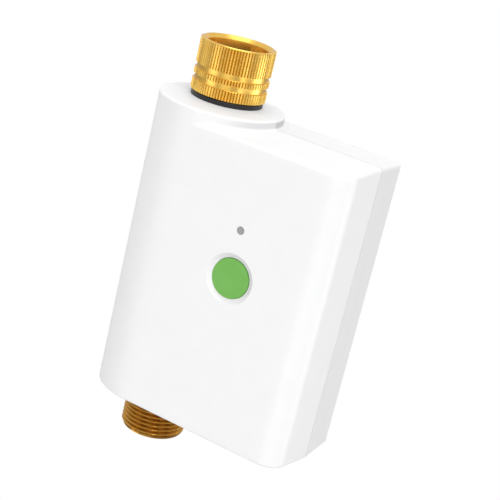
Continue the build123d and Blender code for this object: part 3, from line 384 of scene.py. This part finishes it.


# %% [markdown]
# Two places on the white housing get a painted shade. The two halves meet in a line so fine that a render
# would lose it, so a narrow band of both is greyed there, a painted shade for the gap between them. And
# the low wall round the boss, under the black ring, gets a painted shade that deepens towards the right.
# Both bands follow Object coordinates, so they lie on the surface and stay there from every side.

# %% Painted shades on the housing
housing_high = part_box("front_shell")[1]
boss_height = 3.4 * mm
shoulder = housing_high.z - boss_height
seam_reach = 0.28 * mm
seam_fade = 0.2 * mm
painted_seam_shade = (0.73, 0.73, 0.735)
wall_middle = housing_high.z - 2.0 * mm
wall_reach = 1.4 * mm
wall_start = 6 * mm
wall_end = 22 * mm
painted_wall_shades = {"white_abs": (0.7, 0.7, 0.71), "rear_abs_painted_shade": (0.54, 0.54, 0.55)}
for name, painted_wall_shade in painted_wall_shades.items():
    # A painted shade along the seam, for the gap between the two halves.
    seam = near_level(finishes[name], "Y", housing_high.y, seam_reach)
    seam = towards(finishes[name], seam, "Z", shoulder + seam_fade, shoulder)
    shaded_by(finishes[name], seam, painted_seam_shade)
    # A painted shade on the low wall round the boss, deeper towards the right.
    wall = near_level(finishes[name], "Z", wall_middle, wall_reach)
    wall = towards(finishes[name], wall, "X", wall_start, wall_end)
    shaded_by(finishes[name], wall, painted_wall_shade)
print("the housing parts at y =", round(housing_high.y / mm, 2), "mm, its shoulder is at z =",
      round(shoulder / mm, 2), "mm")

# %% [markdown]
# The threads are turned brass. A cutting tool leaves fine rings round the pipe's axis, so the marks are
# stretched along X and Y and tight along Z. The collar is bright and yellow, and the outlet is browner.
# Dirt gathers in the hollows of a knurl or a thread and shade falls there, so there the brass is darker:
# partly dirt and partly painted shade, by a number that each point of the mesh will carry. Steel, nickel
# and chrome are made the same way, with marks that are shorter and fainter.

# %% Metals
metal_cloud = 3 * mm
tool_mark = 0.35 * mm
turned_marks = (40, 40, 1)
short_marks = (1, 1, 1)


def hollows(material):
    """The mesh attribute named hollow: 1 deep in a groove and 0 on a crest."""
    attribute = material.node_tree.nodes.new("ShaderNodeAttribute")
    attribute.attribute_name = "hollow"
    return attribute.outputs["Fac"]


def metal(name, dark, light, smooth, rough, stretch, depth, coat=0.0):
    """A bare or plated metal: tool marks stretched along one way give its gloss and bump."""
    material = new_finish(name, metallic=1.0, coat=coat)
    marks = cloudy(material, tool_mark, stretch=stretch)
    coloured(material, cloudy(material, metal_cloud), dark, light)
    glossed(material, marks, smooth, rough)
    embossed(material, marks, depth * mm)
    return material


# Name: darkest and lightest colour, smoothest and roughest, stretch and depth in mm of the marks, coat.
metal_finishes = {
    "turned_brass": ((0.92, 0.55, 0.1), (0.97, 0.62, 0.14), 0.25, 0.33, turned_marks, 0.0012, 0.1),
    "bore_brass": ((0.93, 0.57, 0.11), (0.97, 0.62, 0.14), 0.34, 0.44, turned_marks, 0.0012),
    "brown_brass": ((0.66, 0.34, 0.05), (0.74, 0.4, 0.07), 0.2, 0.3, turned_marks, 0.0012),
    "stainless_steel": ((0.52, 0.52, 0.53), (0.62, 0.62, 0.63), 0.24, 0.36, short_marks, 0.003),
    "nickel_plate": ((0.66, 0.63, 0.56), (0.74, 0.71, 0.64), 0.18, 0.28, short_marks, 0.002),
    "chrome_plate": ((0.72, 0.72, 0.73), (0.8, 0.8, 0.81), 0.05, 0.09, short_marks, 0.0006),
}
# Darker brass in the hollows: partly dirt, partly painted shade.
hollow_dirt_and_shade = {"turned_brass": (0.56, 0.34, 0.07), "brown_brass": (0.3, 0.13, 0.02)}
finishes.update({name: metal(name, *row) for name, row in metal_finishes.items()})
for name, shade in hollow_dirt_and_shade.items():
    shaded_by(finishes[name], hollows(finishes[name]), shade)
print("metals:", list(metal_finishes))

# %% [markdown]
# A circuit board is woven glass under green varnish, with copper tracks that stand a little proud. Bricks
# turned into thin lines give the look of tracks without drawing a real circuit. The sleeve of a battery
# cell is a thin glossy film, here a plain dark one with a wide silver band.

# %% Board and film
track_spacing = 4 * mm
track_height = 0.03 * mm
film_dark = (0.02, 0.02, 0.024, 1)
film_silver = (0.42, 0.42, 0.44, 1)
band_margin = 14 * mm


def board_finish(name):
    """Green varnish with faint tracks: a brick pattern's mortar is the track, raised and lighter."""
    material = new_finish(name, coat=0.3)
    tree = material.node_tree
    where = tree.nodes.new("ShaderNodeTexCoord")
    turned = tree.nodes.new("ShaderNodeMapping")
    turned.inputs["Rotation"].default_value = (np.pi / 2, 0, 0)
    bricks = tree.nodes.new("ShaderNodeTexBrick")
    bricks.inputs["Color1"].default_value = (0.01, 0.10, 0.03, 1)
    bricks.inputs["Color2"].default_value = (0.012, 0.12, 0.04, 1)
    bricks.inputs["Mortar"].default_value = (0.03, 0.2, 0.06, 1)
    bricks.inputs["Scale"].default_value = 1 / track_spacing
    bricks.inputs["Mortar Size"].default_value = 0.05
    tree.links.new(where.outputs["Object"], turned.inputs["Vector"])
    tree.links.new(turned.outputs["Vector"], bricks.inputs["Vector"])
    tree.links.new(bricks.outputs["Color"], tree.nodes["Principled BSDF"].inputs["Base Color"])
    glossed(material, cloudy(material, 2 * mm), 0.25, 0.35)
    embossed(material, bricks.outputs["Fac"], track_height)
    return material


def film_finish(name, band_low, band_high):
    """A dark film with a silver band between two heights."""
    material = new_finish(name, coat=0.5, coat_roughness=0.08)
    tree = material.node_tree
    height = ranged(tree, coordinate(tree, "Object", "Z"), band_low, band_high)
    bands = tree.nodes.new("ShaderNodeValToRGB")
    bands.color_ramp.interpolation = "CONSTANT"
    bands.color_ramp.elements[0].color = film_dark
    bands.color_ramp.elements[1].color = film_dark
    bands.color_ramp.elements[1].position = 0.999
    silver = bands.color_ramp.elements.new(0.001)
    silver.color = film_silver
    tree.links.new(height.outputs["Result"], bands.inputs["Fac"])
    tree.links.new(bands.outputs["Color"], tree.nodes["Principled BSDF"].inputs["Base Color"])
    glossed(material, cloudy(material, 5 * mm), 0.2, 0.32)
    embossed(material, cloudy(material, 6 * mm), 0.02 * mm)
    return material


tray_low, tray_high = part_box("battery_tray")
cell_band = (tray_low.z + band_margin, tray_high.z - band_margin)
finishes["green_varnish"] = board_finish("green_varnish")
finishes["cell_film"] = film_finish("cell_film", *cell_band)
print("the cells' silver band is", round((cell_band[1] - cell_band[0]) / mm, 1), "mm high")

# %% [markdown]
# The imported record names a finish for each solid. A table from those names to the materials above dresses
# all the solids at once, and two get a finish of their own where the real one differs.

# %% Dress the solids
finish_of_slot = {
    "white_abs": "white_abs",
    "button_green": "button_green",
    "light_pipe_grey": "smoked_clear",
    "brass": "brown_brass",
    "dark_brass": "brown_brass",
    "black_rubber": "black_rubber",
    "black_plastic": "black_plastic",
    "steel": "stainless_steel",
    "nickel": "nickel_plate",
    "chrome": "chrome_plate",
    "natural_nylon": "natural_nylon",
    "board_green": "green_varnish",
    "cell_wrap": "cell_film",
}


def dress(piece, material):
    """The piece's mesh gets this one material."""
    piece.data.materials.clear()
    piece.data.materials.append(material)


for row in frame["record"]["subparts"]:
    dress(cad_nodes[row["node"]], finishes[finish_of_slot[row["material_slot"]]])
dress(cad_nodes["neck_ring"], finishes["ring_black"])
# The rear shell gets the darker plastic, which is a painted shade.
dress(cad_nodes["rear_shell"], finishes["rear_abs_painted_shade"])

# %% [markdown]
# New pieces are surfaces worked out with numpy. Most of them are turned on a lathe on the real timer, so
# such a piece starts as an outline of radius and height. A turned edge is never quite sharp, and its
# rounding catches a line of light, so each corner is eased by a short curve. Carried round an axis, the
# outline becomes a grid of points: its rows run along the outline and its columns round the axis.

# %% Outlines and spun grids
merge_distance = 1e-7


def eased(corners, steps=5):
    """A closed outline of corners, which are (radius, height, reach) in millimetres. Each is eased by the
    curve (1-t)^2 a + 2t(1-t) c + t^2 b, where c is the corner and a and b lie one reach to its sides."""
    table = np.array(corners, float) * mm
    corners, reach = table[:, :2], table[:, 2:]
    before = np.roll(corners, 1, 0) - corners
    after = np.roll(corners, -1, 0) - corners
    a = corners + reach * before / np.linalg.norm(before, axis=1, keepdims=True)
    b = corners + reach * after / np.linalg.norm(after, axis=1, keepdims=True)
    t = np.linspace(0, 1, steps)[None, :, None]
    curve = (1 - t) ** 2 * a[:, None] + 2 * t * (1 - t) * corners[:, None] + t ** 2 * b[:, None]
    points = curve.reshape(-1, 2)
    moved = np.linalg.norm(points - np.roll(points, 1, 0), axis=1) > merge_distance
    return points[moved]


def round_angles(count):
    """Equal steps once round."""
    return np.linspace(0, 2 * np.pi, count, endpoint=False)


def spun(profile, angles, middle=(0.0, 0.0)):
    """The profile carried round an upright axis: x = r cos a, y = r sin a, z = height."""
    radius, height = profile[:, :1], profile[:, 1:]
    x = middle[0] + radius * np.cos(angles)
    y = middle[1] + radius * np.sin(angles)
    return np.stack([x, y, np.broadcast_to(height, x.shape)], -1)


square = eased([(1, 0, 0.2), (2, 0, 0.2), (2, 1, 0.2), (1, 1, 0.2)])
print("a square of 4 eased corners has", len(square), "points")

# %% [markdown]
# Each cell of a grid becomes a four-sided face. Where a row shrinks to one point, as at the end of a wire,
# its points are merged, which closes the piece. A skin is one grid with its finish, and a piece may have
# many. The last helper also hangs the piece on the body it rides on and hides the solid it stands for.

# %% From grids to a piece
def grid_faces(rows, columns, loop_rows):
    """Corner numbers of the faces of a grid whose columns close on themselves, and its rows if asked."""
    index = np.arange(rows * columns).reshape(rows, columns)
    here = index if loop_rows else index[:-1]
    beyond = np.roll(index, -1, axis=0) if loop_rows else index[1:]
    faces = np.stack([here, np.roll(here, -1, axis=1), np.roll(beyond, -1, axis=1), beyond], -1)
    return faces.reshape(-1, 4)


def tidy_mesh(mesh, sharp):
    """Merges points that lie together, turns faces outwards and marks the sharp edges."""
    work = bmesh.new()
    work.from_mesh(mesh)
    bmesh.ops.remove_doubles(work, verts=work.verts, dist=merge_distance)
    bmesh.ops.recalc_face_normals(work, faces=work.faces)
    work.to_mesh(mesh)
    work.free()
    mesh.polygons.foreach_set("use_smooth", np.ones(len(mesh.polygons), bool))
    mesh.set_sharp_from_angle(angle=np.radians(sharp))


def add_piece(name, skins, materials, body, stands_for, sharp=35, hollow=None):
    """Skins are (grid, whether its rows close, number of its material or one for each row). They become one
    mesh with merged poles, faces turned outwards, and edges sharper than the angle kept sharp. Hollow says
    for each point how deep it lies in a groove, from 0 to 1."""
    points, faces, kinds, start = [], [], [], 0
    for grid, loop_rows, kind in skins:
        rows, columns = grid.shape[:2]
        found = grid_faces(rows, columns, loop_rows)
        points.append(grid.reshape(-1, 3))
        faces.append(found + start)
        kinds.append(np.repeat(np.resize(kind, len(found) // columns), columns))
        start += rows * columns
    mesh = bpy.data.meshes.new(name)
    mesh.from_pydata(np.concatenate(points).tolist(), [], np.concatenate(faces).tolist())
    for material in materials:
        mesh.materials.append(material)
    mesh.polygons.foreach_set("material_index", np.concatenate(kinds))
    if hollow is not None:
        depth = mesh.attributes.new("hollow", "FLOAT", "POINT")
        depth.data.foreach_set("value", hollow.ravel().astype(np.float32))
    tidy_mesh(mesh, sharp)
    piece = bpy.data.objects.new(name, mesh)
    bpy.context.scene.collection.objects.link(piece)
    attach(piece, body)
    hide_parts(stands_for)
    print(name, "has", len(mesh.polygons), "faces")
    return piece


# %% [markdown]
# The knurled collar is what the hand turns. The real one is turned from bar with straight knurls pressed
# in, then two grooves are cut. A bevelled cylinder with a bump would lose the flutes against the outline.
# So the flutes are shaped: the profile is spun round, and wherever it reaches further out than the knurled
# bar, the bar's own radius is used. That gives flutes that run out cleanly at grooves and rim. First come
# the sizes, in millimetres, and the outline that is spun.

# %% Sizes and outline of the collar
thread_pitch = 1.814
swivel_low, swivel_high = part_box("inlet_swivel")
collar_bottom = swivel_low.z / mm
collar_top = swivel_high.z / mm
collar_radius = 14.7
flute_depth = 0.45
collar_root = collar_radius - flute_depth
groove_floor = collar_radius - 0.75
rim_drop = 0.4
rim_radius = collar_root - rim_drop
mouth_drop = 1.4
bore_radius = 12.06
relief_depth = 0.3
relief_radius = bore_radius + relief_depth
lip_radius = 9.16
lip_top = collar_bottom + 4.9
bore_bottom = collar_bottom + 9.7
inner_thread = (bore_bottom + 0.2, bore_bottom + 4.1)
inner_rows_per_turn = 14
groove_height = 2.15
knurl_gaps = (9.95, groove_height, 2.05, groove_height)
groove_edges = collar_top - np.cumsum(knurl_gaps)


def with_rows(outline, heights):
    """Adds rows to the bore of a closed outline at these heights."""
    bore = np.abs(outline[:, 0] - bore_radius * mm) < 1e-6
    first = np.nonzero(bore)[0].min()
    rows = np.stack([np.full(len(heights), bore_radius * mm), heights[::-1]], -1)
    return np.concatenate([outline[:first + 1], rows, outline[first + 1:]])


def collar_profile():
    """Closed outline of the collar: foot, bands and grooves outside, rim, mouth, bore, and inner lip."""
    g1, g2, g3, g4 = groove_edges
    outline = eased([
        (lip_radius, collar_bottom, 0.2),
        (collar_radius, collar_bottom, 0.2),
        (collar_radius, g4, 0.08),
        (groove_floor, g4, 0.12),
        (groove_floor, g3, 0.12),
        (collar_radius, g3, 0.08),
        (collar_radius, g2, 0.08),
        (groove_floor, g2, 0.12),
        (groove_floor, g1, 0.12),
        (collar_radius, g1, 0.08),
        (collar_radius, collar_top - rim_drop, 0.05),
        (collar_root, collar_top - rim_drop, 0.1),
        (rim_radius, collar_top, 0.06),
        (bore_radius + mouth_drop, collar_top, 0.1),
        (bore_radius, collar_top - mouth_drop, 0.1),
        (bore_radius, bore_bottom, 0.1),
        (relief_radius, bore_bottom - relief_depth, 0.1),
        (relief_radius, lip_top, 0.3),
        (lip_radius, lip_top, 0.2),
    ])
    return with_rows(outline, np.arange(*inner_thread, thread_pitch / inner_rows_per_turn) * mm)


print("the collar's outline has", len(collar_profile()), "points")

# %% [markdown]
# A knurl and a thread are both a wave that says how much is cut away at each point. The wave of the knurl
# runs round the collar, and it is a V between flat lands. The wave of the thread runs along a helix, and
# the bore is cut outwards by it. The collar and the button take no part in bounced light: gold and green
# would tint the white plastic beside them, and the photograph shows no such tint.

# %% Knurled collar
flute_count = 79
flute_land = 0.3
flute_steps = np.array([0.0, 0.15, 0.3, 0.42, 0.54, 0.65, 0.76, 0.88])
run_out_length = 0.8
hollow_most = 0.9
hollow_curve = 1.5


def flute_angles():
    """Angles round the collar, closer together in each flute than on its land."""
    return ((np.arange(flute_count)[:, None] + flute_steps) * 2 * np.pi / flute_count).ravel()


def flute_cut(angles):
    """0 on a land and 1 at the bottom of the V between two lands: 1 - |v - m| / h."""
    share = (angles * flute_count / (2 * np.pi)) % 1
    half = (1 - flute_land) / 2
    return np.clip(1 - np.abs(share - 1 + half) / half, 0, 1)


def helix_wave(angles, height):
    """0 at a crest and 1 at a root of a thread. The phase is height / pitch less the share of a turn, and
    the shape is half a cosine and half a V."""
    phase = (height / thread_pitch - angles / (2 * np.pi)) % 1
    return 0.5 * (0.5 - 0.5 * np.cos(2 * np.pi * phase)) + 0.5 * (1 - np.abs(2 * phase - 1))


def run_out(height, low, high):
    """Rises from 0 to 1 over the length of a run-out inside two heights."""
    return np.clip((height - low) / run_out_length, 0, 1) * np.clip((high - height) / run_out_length, 0, 1)


def collar_grid():
    """The spun profile, limited outside by the knurled bar, which is never thinner than its root, and cut
    inside by the thread. With it go the depth of each point in the knurl, and a 1 for each row inside."""
    angles = flute_angles()
    grid = spun(collar_profile(), angles)
    height = grid[..., 2] / mm
    radius = np.hypot(grid[..., 0], grid[..., 1]) / mm
    bar = collar_radius - flute_depth * flute_cut(angles)
    wave = helix_wave(angles, height) * run_out(height, *inner_thread)
    bored = np.where(np.abs(radius - bore_radius) < 0.001, radius + wave, np.minimum(radius, bar))
    grid[..., :2] *= (bored / radius)[..., None]
    on_band = radius > collar_root + 0.05
    valley = np.where(on_band, flute_cut(angles) ** hollow_curve, 0)
    in_bore = (radius[:, 0] < relief_radius + 0.05) & (height[:, 0] > collar_bottom + 1)
    return grid, hollow_most * valley, in_bore.astype(int)


collar_points, collar_hollow, collar_kinds = collar_grid()
collar_brass = [finishes["turned_brass"], finishes["bore_brass"]]
collar = add_piece(
    "knurled_collar", [(collar_points, True, collar_kinds)], collar_brass, "swivel", "inlet_swivel",
    hollow=collar_hollow)
collar.visible_diffuse = False
cad_nodes["button_cap"].visible_diffuse = False

# %% [markdown]
# The outlet is a male pipe thread below, and a plain pipe inside the housing. Its outline is drawn first
# without the thread. A wave can only cut where there are points to move, so many rows are put in there.

# %% Sizes and outline of the outlet
outlet_low, outlet_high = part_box("outlet_nipple")
outlet_bottom = outlet_low.z / mm
outlet_top = outlet_high.z / mm
pipe_lift = 2.6
pipe_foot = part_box("front_shell")[0].z / mm + pipe_lift
thread_major = 13.22
thread_end = 0.1
thread_rows_per_turn = 16
chamfer = 1.0
mouth_radius = 7.8
outlet_bore = 7.0
wall_radius = thread_major - 0.3
pipe_radius = 11.0
spigot_radius = 10.1
spigot_foot = 27.0


def outlet_profile():
    """Closed outline: mouth, chamfered end, thread, plain part in the wall, pipe, spigot and bore."""
    outer = eased([
        (mouth_radius, outlet_bottom, 0.15),
        (thread_major - chamfer, outlet_bottom, 0.15),
        (thread_major, outlet_bottom + chamfer, 0.0),
        (thread_major, thread_end, 0.0),
        (wall_radius, thread_end + 0.3, 0.1),
        (wall_radius, pipe_foot, 0.15),
        (pipe_radius, pipe_foot, 0.2),
        (pipe_radius, spigot_foot, 0.15),
        (spigot_radius, spigot_foot, 0.1),
        (spigot_radius, outlet_top, 0.2),
        (outlet_bore, outlet_top, 0.15),
        (outlet_bore, outlet_bottom + mouth_radius - outlet_bore, 0.1),
    ])
    rows = np.arange(outlet_bottom + chamfer + 0.05, thread_end - 0.05, thread_pitch / thread_rows_per_turn)
    start = np.nonzero(outer[:, 0] >= thread_major * mm - 1e-7)[0].min()
    thread = np.stack([np.full(len(rows), thread_major), rows], -1) * mm
    return np.concatenate([outer[:start + 1], thread, outer[start + 1:]])


print("the outlet's outline has", len(outlet_profile()), "points")

# %% [markdown]
# The thread could be a stack of rings, but a real one is a single helix, and its lines climb as they go
# round. The same wave as in the collar cuts it. The chamfer at its end is a limit: each point takes the
# smaller of the chamfer's radius and the thread's.

# %% Threaded outlet
thread_depth = 1.0
outlet_steps = 192
outlet_curve = 0.7
smooth_hollow = 0.6


def outlet_grid():
    """The spun profile, with the thread cut from its outside, and the depth of each point in the thread.
    Where there is no thread the brass is about as dark as in the middle of a flank."""
    angles = round_angles(outlet_steps)
    grid = spun(outlet_profile(), angles)
    height = grid[..., 2] / mm
    radius = np.hypot(grid[..., 0], grid[..., 1]) / mm
    wave = helix_wave(angles, height) * np.clip((thread_end - height) / run_out_length, 0, 1)
    threaded = (height < thread_end) & (radius > pipe_radius + 0.5)
    cut = np.where(threaded, np.minimum(radius, thread_major - thread_depth * wave), radius)
    grid[..., :2] *= (cut / radius)[..., None]
    return grid, np.where(threaded, wave ** outlet_curve, smooth_hollow)


outlet_points, outlet_hollow = outlet_grid()
outlet = add_piece(
    "threaded_outlet", [(outlet_points, True, 0)], [finishes["brown_brass"]], "housing", "outlet_nipple",
    hollow=outlet_hollow)

# %% [markdown]
# Two pieces are made of wire. A curve with a round bevel would give a wire too. Here it is a grid like all
# the rest, with one row for each point of the wire's path, so that many wires can share one mesh.

# %% Wires
ring_wire = 0.16
rib_wire = ring_wire * 0.8


def tube(path, radius, sides=6, loop=False):
    """A wire along a path of points: at each point a ring of the wire's radius stands square to the path.
    The ring's axes are the path's direction crossed with a steady direction, and crossed again."""
    path = np.asarray(path, float)
    if loop:
        ahead, behind = np.roll(path, -1, 0), np.roll(path, 1, 0)
    else:
        ahead, behind = np.vstack([path[1:], path[-1:]]), np.vstack([path[:1], path[:-1]])
    along = ahead - behind
    along /= np.linalg.norm(along, axis=1, keepdims=True)
    steep = abs(along[:, 2]).max() >= 0.8
    steady = np.array([0.95, 0.3, 0.05] if steep else [0.31, 0.17, 0.93])
    side = np.cross(along, steady)
    side /= np.linalg.norm(side, axis=1, keepdims=True)
    over = np.cross(along, side)
    turn = round_angles(sides)[None, :, None]
    grid = path[:, None] + radius * (np.cos(turn) * side[:, None] + np.sin(turn) * over[:, None])
    if loop:
        return grid
    ends = np.broadcast_to(path[[0, -1], None], (2, sides, 3))
    return np.concatenate([ends[:1], grid, ends[1:]])


def wire_skin(x, y, z, radius, loop=False):
    """A tube along points that are given in millimetres, as a skin for add_piece."""
    return tube(np.stack([x, y, z], -1) * mm, radius * mm, loop=loop), loop, 0


print("the filter's wires are", 2 * ring_wire, "and", 2 * rib_wire, "mm thick")

# %% [markdown]
# Under the washer sits a filter, a little basket of woven steel wire. The solid is a plain cup. Seen from
# above through the washer it has to show its wires, so each is made: rings and slanting ribs on the wall,
# and straight wires that pass over and under each other across the floor.

# %% Wire filter
screen_low, screen_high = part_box("filter_screen")
rim_thickness = 0.4
rim_inside = 6.3
rim_outside = 11.4
basket_top = 6.5
basket_foot = 4.3
basket_rings = 17
basket_ribs = 56
basket_wave = 0.1
net_wires = 14
net_half = 3.9
net_height = screen_low.z / mm + 1.2 * ring_wire
net_wave = 0.06
net_spacing = 0.6
ring_steps, rib_steps, net_steps = 96, 9, 15


def wall_place(share, rim_foot):
    """Radius and height on the basket's wall, a share of the way up from its floor to its rim."""
    floor_level = screen_low.z / mm
    radius = basket_foot + share * (basket_top - basket_foot)
    return radius, floor_level + ring_wire + share * (rim_foot - floor_level - ring_wire)


def basket_skins():
    """Rim, rings and ribs of the wall, and the square net of the floor."""
    rim_top = screen_high.z / mm
    rim_foot = rim_top - rim_thickness
    rim = eased([
        (rim_inside, rim_foot, 0.12), (rim_outside, rim_foot, 0.12),
        (rim_outside, rim_top, 0.12), (rim_inside, rim_top, 0.12),
    ])
    turn = round_angles(ring_steps)
    skins = [(spun(rim, turn), True, 0)]
    for share in np.linspace(0, 1, basket_rings):
        radius, height = wall_place(share, rim_foot)
        level = np.full(len(turn), height)
        skins.append(wire_skin(radius * np.cos(turn), radius * np.sin(turn), level, ring_wire, loop=True))
    for angle in round_angles(basket_ribs):
        share = np.linspace(0, 1, rib_steps)
        radius, height = wall_place(share, rim_foot)
        radius = radius + basket_wave * np.cos(np.pi * (rib_steps - 1) * share)
        skins.append(wire_skin(radius * np.cos(angle), radius * np.sin(angle), height, rib_wire))
    for offset in np.linspace(-net_half, net_half, net_wires):
        half = np.sqrt(basket_foot ** 2 - offset ** 2)
        run = np.linspace(-half, half, net_steps)
        aside = np.full(len(run), offset)
        over = net_wave * np.cos(np.pi * run / net_spacing)
        skins.append(wire_skin(run, aside, net_height + over, rib_wire))
        skins.append(wire_skin(aside, run, net_height - over, rib_wire))
    return skins


basket = add_piece(
    "wire_filter", basket_skins(), [finishes["stainless_steel"]], "housing", "filter_screen")

# %% [markdown]
# The four cells are hidden until the door lifts off. A real cell is a steel can in a film that wraps over
# its shoulders and leaves both ends bare. The can and its raised end are one spun profile, and the film is
# a second, slightly larger one, so that its cut edge shows. Every second cell stands on its head.

# %% Battery cells
cell_radius = 7.25
cell_half = 50.5 / 2
tray_middle = (tray_low.z + tray_high.z) / 2 / mm
cell_columns = (42.65, 57.35)
cell_rows = (-8.3, 6.4)
can_radius = cell_radius - 0.1
film_inside = cell_radius - 0.2
cell_steps = 72


def cell_places():
    """Middle of each cell in x and y, and 1 or -1 for the way that its raised end points."""
    return [
        (x, y, 1 if (i + j) % 2 == 0 else -1)
        for i, x in enumerate(cell_columns) for j, y in enumerate(cell_rows)
    ]


def cell_skins():
    """Cans and films of the four cells. The heights of a cell on its head are mirrored."""
    can = eased([
        (0.001, -cell_half, 0),
        (4.4, -cell_half, 0.2),
        (4.7, -cell_half + 0.25, 0.1),
        (cell_radius - 0.35, -cell_half + 0.25, 0.1),
        (can_radius, -cell_half + 0.6, 0.2),
        (can_radius, cell_half - 1.9, 0.3),
        (cell_radius - 0.5, cell_half - 1.3, 0.3),
        (3.6, cell_half - 1.1, 0.3),
        (2.75, cell_half - 1.0, 0.2),
        (2.6, cell_half, 0.3),
        (0.001, cell_half, 0),
    ])
    film = eased([
        (5.6, -cell_half + 0.1, 0.05),
        (cell_radius, -cell_half + 0.1, 0.4),
        (cell_radius, cell_half - 1.2, 0.4),
        (5.4, cell_half - 0.95, 0.05),
        (5.4, cell_half - 1.1, 0.05),
        (film_inside, cell_half - 1.5, 0.3),
        (film_inside, -cell_half + 0.3, 0.3),
        (5.6, -cell_half + 0.3, 0.05),
    ])
    skins = []
    for x, y, way in cell_places():
        for kind, outline in enumerate((can, film)):
            profile = np.stack([outline[:, 0], tray_middle * mm + way * outline[:, 1]], -1)
            skins.append((spun(profile, round_angles(cell_steps), (x * mm, y * mm)), True, kind))
    return skins


cells = add_piece(
    "battery_cells_dressed", cell_skins(), [finishes["nickel_plate"], finishes["cell_film"]], "housing",
    "battery_cells")

# %% [markdown]
# Each flat end of a cell rests on a spring. The real ones are wound from round wire into a low cone, which
# is a tube along a helix whose radius shrinks as it rises.

# %% Cell springs
spring_wire = 0.35
spring_rise = 2.35
spring_foot = 4.0
spring_shrink = 1.4
spring_turns = 3
spring_steps = 109
flat_share = 0.12
tray_wall = 1.0


def spring_skins():
    """Four cone springs: r shrinks from the foot's with the turn, and z rises between two flat ends."""
    share = np.linspace(0, 1, spring_steps)
    rise = np.clip((share - flat_share) / (1 - 2 * flat_share), 0, 1)
    climb = spring_wire + (spring_rise - 2 * spring_wire) * rise
    radius = spring_foot - spring_shrink * share
    turn = 2 * np.pi * spring_turns * share
    skins = []
    for x, y, way in cell_places():
        wall = tray_low.z / mm + tray_wall if way > 0 else tray_high.z / mm - tray_wall
        path = [x + radius * np.cos(turn), y + radius * np.sin(turn), wall + way * climb]
        skins.append((tube(np.stack(path, -1) * mm, spring_wire * mm, 8), False, 0))
    return skins


springs = add_piece(
    "cell_springs", spring_skins(), [finishes["nickel_plate"]], "housing", "battery_springs")

# %% [markdown]
# At the end the new pieces are listed by name. The dressed model must not grow past the solids.

# %% New pieces
dressed_pieces = (collar, outlet, basket, cells, springs)
print("new pieces:", [piece.name for piece in dressed_pieces])
